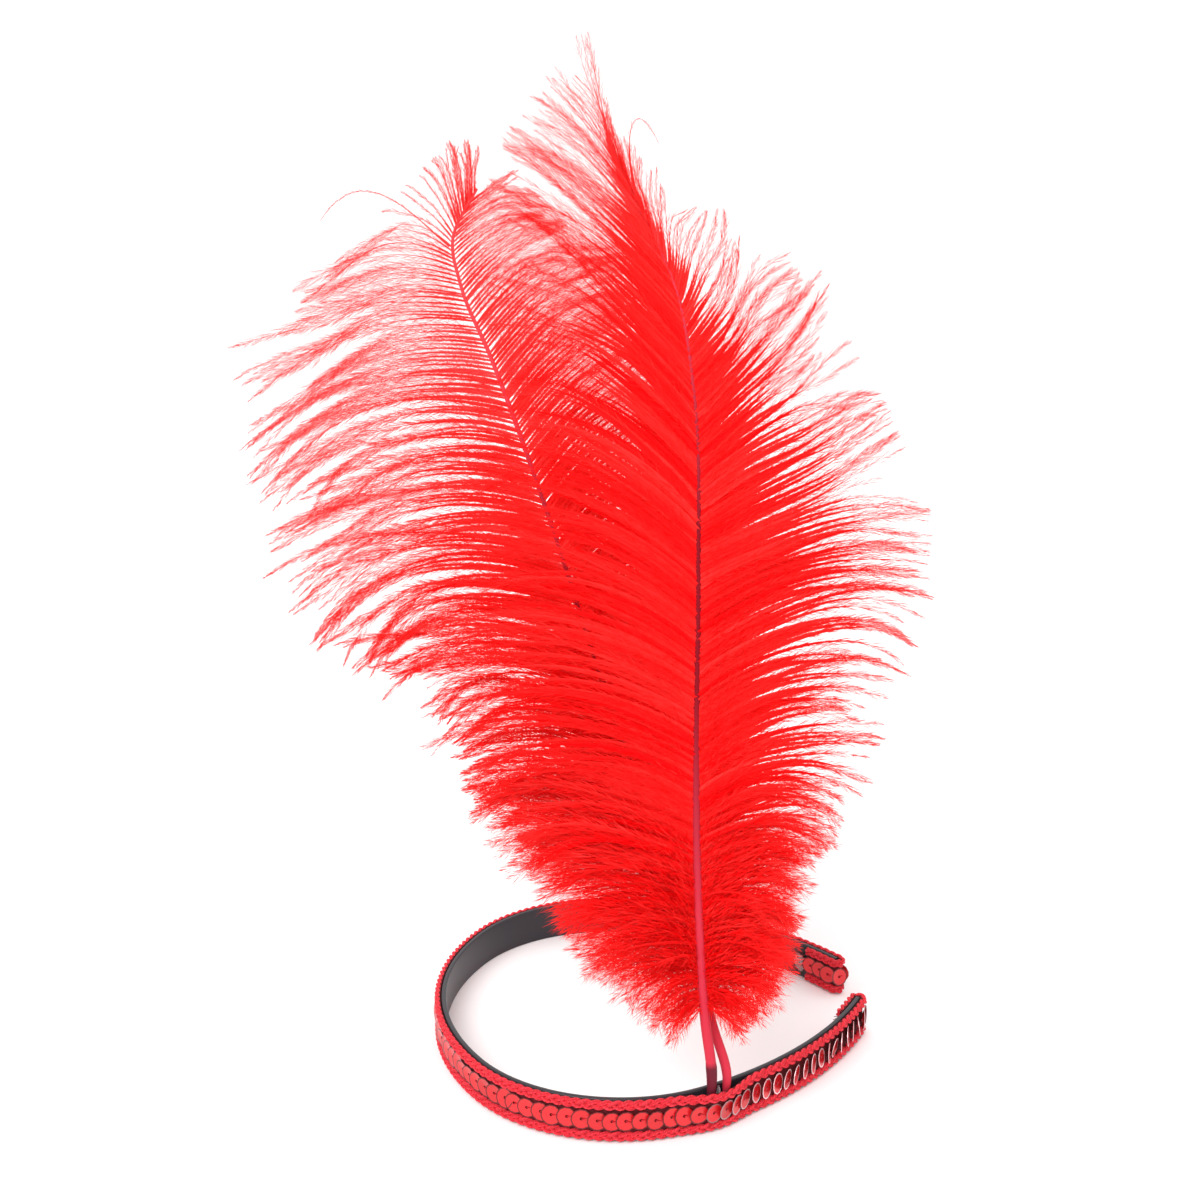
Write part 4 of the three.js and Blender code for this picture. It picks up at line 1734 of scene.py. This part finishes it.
@dataclass
class GlueBead:
    """A small uneven bead of dried glue: its half sizes in mm along the band, out from it and up."""

    node: str
    run: float
    half: Point
    seed: int
    rough: float = 0.04
    waves: int = 5
    choppy: float = 2.5
    steepest: float = 80.0
    rings: int = 11
    sides: int = 14

    def shape(self) -> np.ndarray:
        """Draw the lumpy bead about its middle.

        Returns:
            Points by ring and place round it, along, out and up.
        """
        rise = np.radians(np.linspace(-self.steepest, self.steepest, self.rings))[:, None]
        turn = np.linspace(0, TURN, self.sides, endpoint=False)[None]
        level = np.sin(rise) * np.ones_like(turn)
        ball = np.stack([np.cos(rise) * np.cos(turn), np.cos(rise) * np.sin(turn), level], axis=2)
        rng = np.random.default_rng(self.seed)
        waves = zip(rng.normal(0, self.choppy, (self.waves, 3)), rng.uniform(0, TURN, self.waves))
        lumps = sum(np.sin(ball @ way + phase) for way, phase in waves)
        return ball * (1 + self.rough * lumps)[:, :, None] * np.array(self.half)

    def build(self, bench: Workbench, plan: BandPlan, material: Material) -> None:
        """Make the bead where the CAD has it.

        Args:
            bench: The workbench.
            plan: The band's plan, which turns the bead.
            material: The dried glue.
        """
        low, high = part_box(self.node)
        centre = (np.array(low) + np.array(high)) / (2 * MM) - bench.shift
        _, outward = plan.at(np.array([self.run]))
        x, y = outward[0]
        axes = np.array([[y, -x, 0.0], [x, y, 0.0], [0.0, 0.0, 1.0]])
        mesh = bench.lofted(f"{self.node}_bead", centre + self.shape() @ axes)
        settle(bench.show(f"{self.node}_bead", mesh, material), "glue", self.node)


@dataclass(frozen=True)
class Studio:
    """A white sweep under soft lights, and the camera, in plan mm and degrees."""

    lens: float = 42.0
    sensor: float = 36.0
    pitch: float = 11.0
    height: float = 203.3
    distance: float = 324.2
    nearest: float = 10.0
    key: float = 1.7
    key_way: Point = (0.4, 0.8, -0.8)
    softness: float = 40.0
    white: Colour = (1.0, 1.0, 1.0)
    sky: float = 0.95
    backdrop: float = 1.0
    exposure: float = 0.2
    floor_size: float = 8000.0
    floor_colour: Colour = (0.95, 0.95, 0.95)
    floor_roughness: float = 0.8
    floor_gloss: float = 0.1

    def camera(self, shift: np.ndarray) -> None:
        """Stand the camera in front of the band, looking down a little.

        Args:
            shift: The move from plan places to the row frame.
        """
        data = bpy.data.cameras.new("camera")
        data.lens = self.lens
        data.sensor_width = self.sensor
        data.clip_start = self.nearest * MM
        camera = bpy.data.objects.new("camera", data)
        camera.location = Vector((shift[0], shift[1] - self.distance, self.height)) * MM
        camera.rotation_euler = (math.radians(90 - self.pitch), 0.0, 0.0)
        bpy.context.scene.collection.objects.link(camera)
        bpy.context.scene.camera = camera

    def sun(self) -> None:
        """Hang one broad soft light, high on the left and in front."""
        data = bpy.data.lights.new("key", "SUN")
        data.energy = self.key
        data.angle = math.radians(self.softness)
        lamp = bpy.data.objects.new("key", data)
        lamp.rotation_euler = Vector(self.key_way).to_track_quat("-Z", "Y").to_euler()
        bpy.context.scene.collection.objects.link(lamp)

    def surround(self) -> None:
        """Set the white all round, a little brighter to the camera than as a light."""
        world = bpy.data.worlds.new("white")
        world.use_nodes = True
        graph = NodeGraph(world.node_tree)
        seen = graph.out("ShaderNodeLightPath", {}, "Is Camera Ray")
        feeds = {"Value": seen, "To Min": self.sky, "To Max": self.backdrop}
        level = graph.out("ShaderNodeMapRange", feeds, "Result")
        graph.feed(world.node_tree.nodes["Background"], {"Color": self.white, "Strength": level})
        scene = bpy.context.scene
        scene.world = world
        scene.view_settings.view_transform = "Standard"
        scene.view_settings.exposure = self.exposure

    def build(self, shift: np.ndarray) -> None:
        """Set the surround, the floor, the light and the camera.

        Args:
            shift: The move from plan places to the row frame.
        """
        self.surround()
        bpy.ops.mesh.primitive_plane_add(size=self.floor_size * MM, location=(0, 0, 0))
        floor = bpy.context.object
        floor.name = "floor"
        shader = Shader("floor_white")
        shader.feed(shader.surface, {
            "Base Color": self.floor_colour,
            "Roughness": self.floor_roughness,
            "Specular IOR Level": self.floor_gloss,
        })
        floor.data.materials.append(shader.material)
        self.sun()
        self.camera(shift)


def shaft_rows(*rows: tuple[float, ...]) -> tuple[ShaftRow, ...]:
    """Make a shaft's table from its rows: height, place and radius."""
    return tuple(ShaftRow(*row) for row in rows)


def barb_rows(*rows: tuple[float, ...]) -> tuple[BarbRow, ...]:
    """Make a vane's table from its rows: root, out, up, arch and back."""
    return tuple(BarbRow(*row) for row in rows)


FRONT_SHAFT = Shaft("quill_front_shaft", "quill_front", 109.2, shaft_rows(
    (30, 26.8, 5.6, 1.3), (57, 25.0, 7.9, 1.2), (100, 24.0, 12.0, 1.05), (143, 24.3, 17.0, 0.85),
    (188, 23.0, 23.6, 0.65), (213, 18.5, 28.6, 0.55), (236, 8.0, 33.6, 0.45), (249, 1.6, 37.0, 0.35)),
    dipped=18.5, pale_above=205.0)
REAR_SHAFT = Shaft("quill_rear_shaft", "quill_rear", 113.8, shaft_rows(
    (25, 29.5, 10.4, 1.25), (60, 18.7, 16.0, 1.15), (115, 0.3, 25.5, 0.95), (160, -14.6, 33.0, 0.7),
    (196, -27.9, 38.5, 0.55), (214, -35.5, 41.3, 0.45), (226, -37.4, 43.2, 0.4), (238, -31.3, 45.0, 0.35)),
    dipped=9.0, pale_above=172.0)

FRONT_LEFT = Vane("vane_front_left", Side.LEFT, barb_rows(
    (34, 7, -8, 1, 1), (41, 16, -7, 3, 2), (51, 27, -5, 4, 3), (63, 37, 0, 5, 4), (78, 53, 2, 7, 6),
    (92, 63, 4, 9, 6), (105, 64, 7, 9, 6), (125, 61, 13, 9, 6), (150, 53, 23, 8, 5), (175, 48, 31, 7, 5),
    (200, 45, 35, 5, 4), (220, 35, 29, 3, 4), (236, 20, 26, 2, 4), (248, 4, 26, 0, 6)), seed=101)
FRONT_RIGHT = Vane("vane_front_right", Side.RIGHT, barb_rows(
    (34, 10, -8, 1, 1), (41, 17, -5, 3, 2), (51, 21, -3, 4, 3), (63, 25, 0, 4, 4), (76, 33, 2, 6, 5),
    (95, 44, 7, 7, 6), (120, 53, 12, 8, 6), (133, 54, 13, 6, 6), (145, 52, 16, 3, 6), (155, 45, 21, 2, 5),
    (165, 39, 25, 2, 5), (175, 34, 29, 1, 5), (185, 28, 30, 0, 5), (200, 17, 26, -1, 4), (213, 3, 19, 0, 3),
    (228, -5, 17, 0, 3), (245, -3, 14, 0, 4)), seed=202,
    loose=(LooseBarb((9.0, 33.5, 235.0), (5.0, 35.5, 250.0), (8.0, 36.0, 261.0), (14.5, 36.0, 248.0)),))
REAR_LEFT = Vane("vane_rear_left", Side.LEFT, barb_rows(
    (66, 26, 0, 4, 3), (80, 40, 2, 6, 4), (95, 45, 2, 7, 5), (107, 48, 0, 8, 6), (122, 58, -6, 9, 6),
    (138, 65, -11, 9, 6), (153, 65, -13, 9, 6), (168, 62, -15, 9, 6), (180, 62, -17, 9, 6),
    (191, 62, -18, 8, 5), (202, 57, -18, 7, 5), (210, 50, -14, 6, 5), (219, 36, -4, 5, 4), (223, 24, 4, 4, 4),
    (227, 11, 12, 2, 3), (232, 3, 16, 1, 3), (237, -1, 12, 0, 3)), seed=303,
    loose=(LooseBarb((-38.4, 43.0, 223.6), (-48.0, 43.0, 232.0), (-60.0, 43.0, 246.0),
                     (-71.0, 43.0, 230.0)),),
    web=0.85, web_reach=0.67, thin_above=135.0, fade_above=125.0, broad_tip=0.17, tuft_above=229.0)
REAR_RIGHT = Vane("vane_rear_right", Side.RIGHT, barb_rows(
    (78, 12, 8, 3, 2), (95, 26, 13, 5, 3), (120, 35, 18, 6, 4), (150, 38, 22, 7, 4), (175, 38, 24, 7, 4),
    (195, 36, 22, 6, 4), (211, 30, 16, 5, 4), (222, 22, 10, 3, 3), (235, 12, 9, 0, 3)), seed=404,
    web=0.9, web_reach=0.72, thin_above=140.0, fade_above=135.0, broad_tip=0.14, triangles=160000)
PLUMES = ((FRONT_SHAFT, (FRONT_LEFT, FRONT_RIGHT)), (REAR_SHAFT, (REAR_LEFT, REAR_RIGHT)))
TIP_BEAD_FROM_END = 14.0


def main() -> None:
    """Build every piece, in the order that the headband is put together."""
    logging.basicConfig(level=logging.INFO, format="%(message)s")
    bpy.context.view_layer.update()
    plan = BandPlan()
    pocket = Pocket()
    bench = Workbench(plan.shift())
    route = TrimRoute.laid(plan, pocket, fold=11.0, stand_off=1.9, step=0.5)
    Hairband(plan).build(bench, PlasticFinish())
    braid = Braid(route)
    yarn_tree = braid.yarn_tree()
    yarn = YarnFinish().material()
    # The frayed ends take the same painted shade in their plies' grooves.
    frayed = YarnFinish("frayed_ends", (0.02, 0.015, 0.02), (0.08, 0.06, 0.07)).material()
    braid.build(bench, TapeFinish(), yarn_tree, yarn, frayed)
    SequinRow(route).build(bench, SequinFinish(), yarn_tree, yarn)
    quill = QuillFinish().material()
    plume = PlumeFinish().material()
    plumage = Plumage()
    tree = plumage.tree()
    barbule = plumage.barbule(bench)
    for shaft, vanes in PLUMES:
        shaft.build(bench, plan, quill)
        for vane in vanes:
            vane.build(bench, shaft.table(plan), tree, barbule, plume)
    bpy.data.objects.remove(barbule)
    glue = GlueFinish().material()
    beads = (GlueBead("glue_pocket", pocket.at, (0.55, 0.8, 2.2), 5),
             GlueBead("glue_tip", TIP_BEAD_FROM_END - plan.arm, (2.2, 0.75, 2.6), 6))
    for bead in beads:
        bead.build(bench, plan, glue)
    Studio().build(bench.shift)


if __name__ == "__main__":
    main()
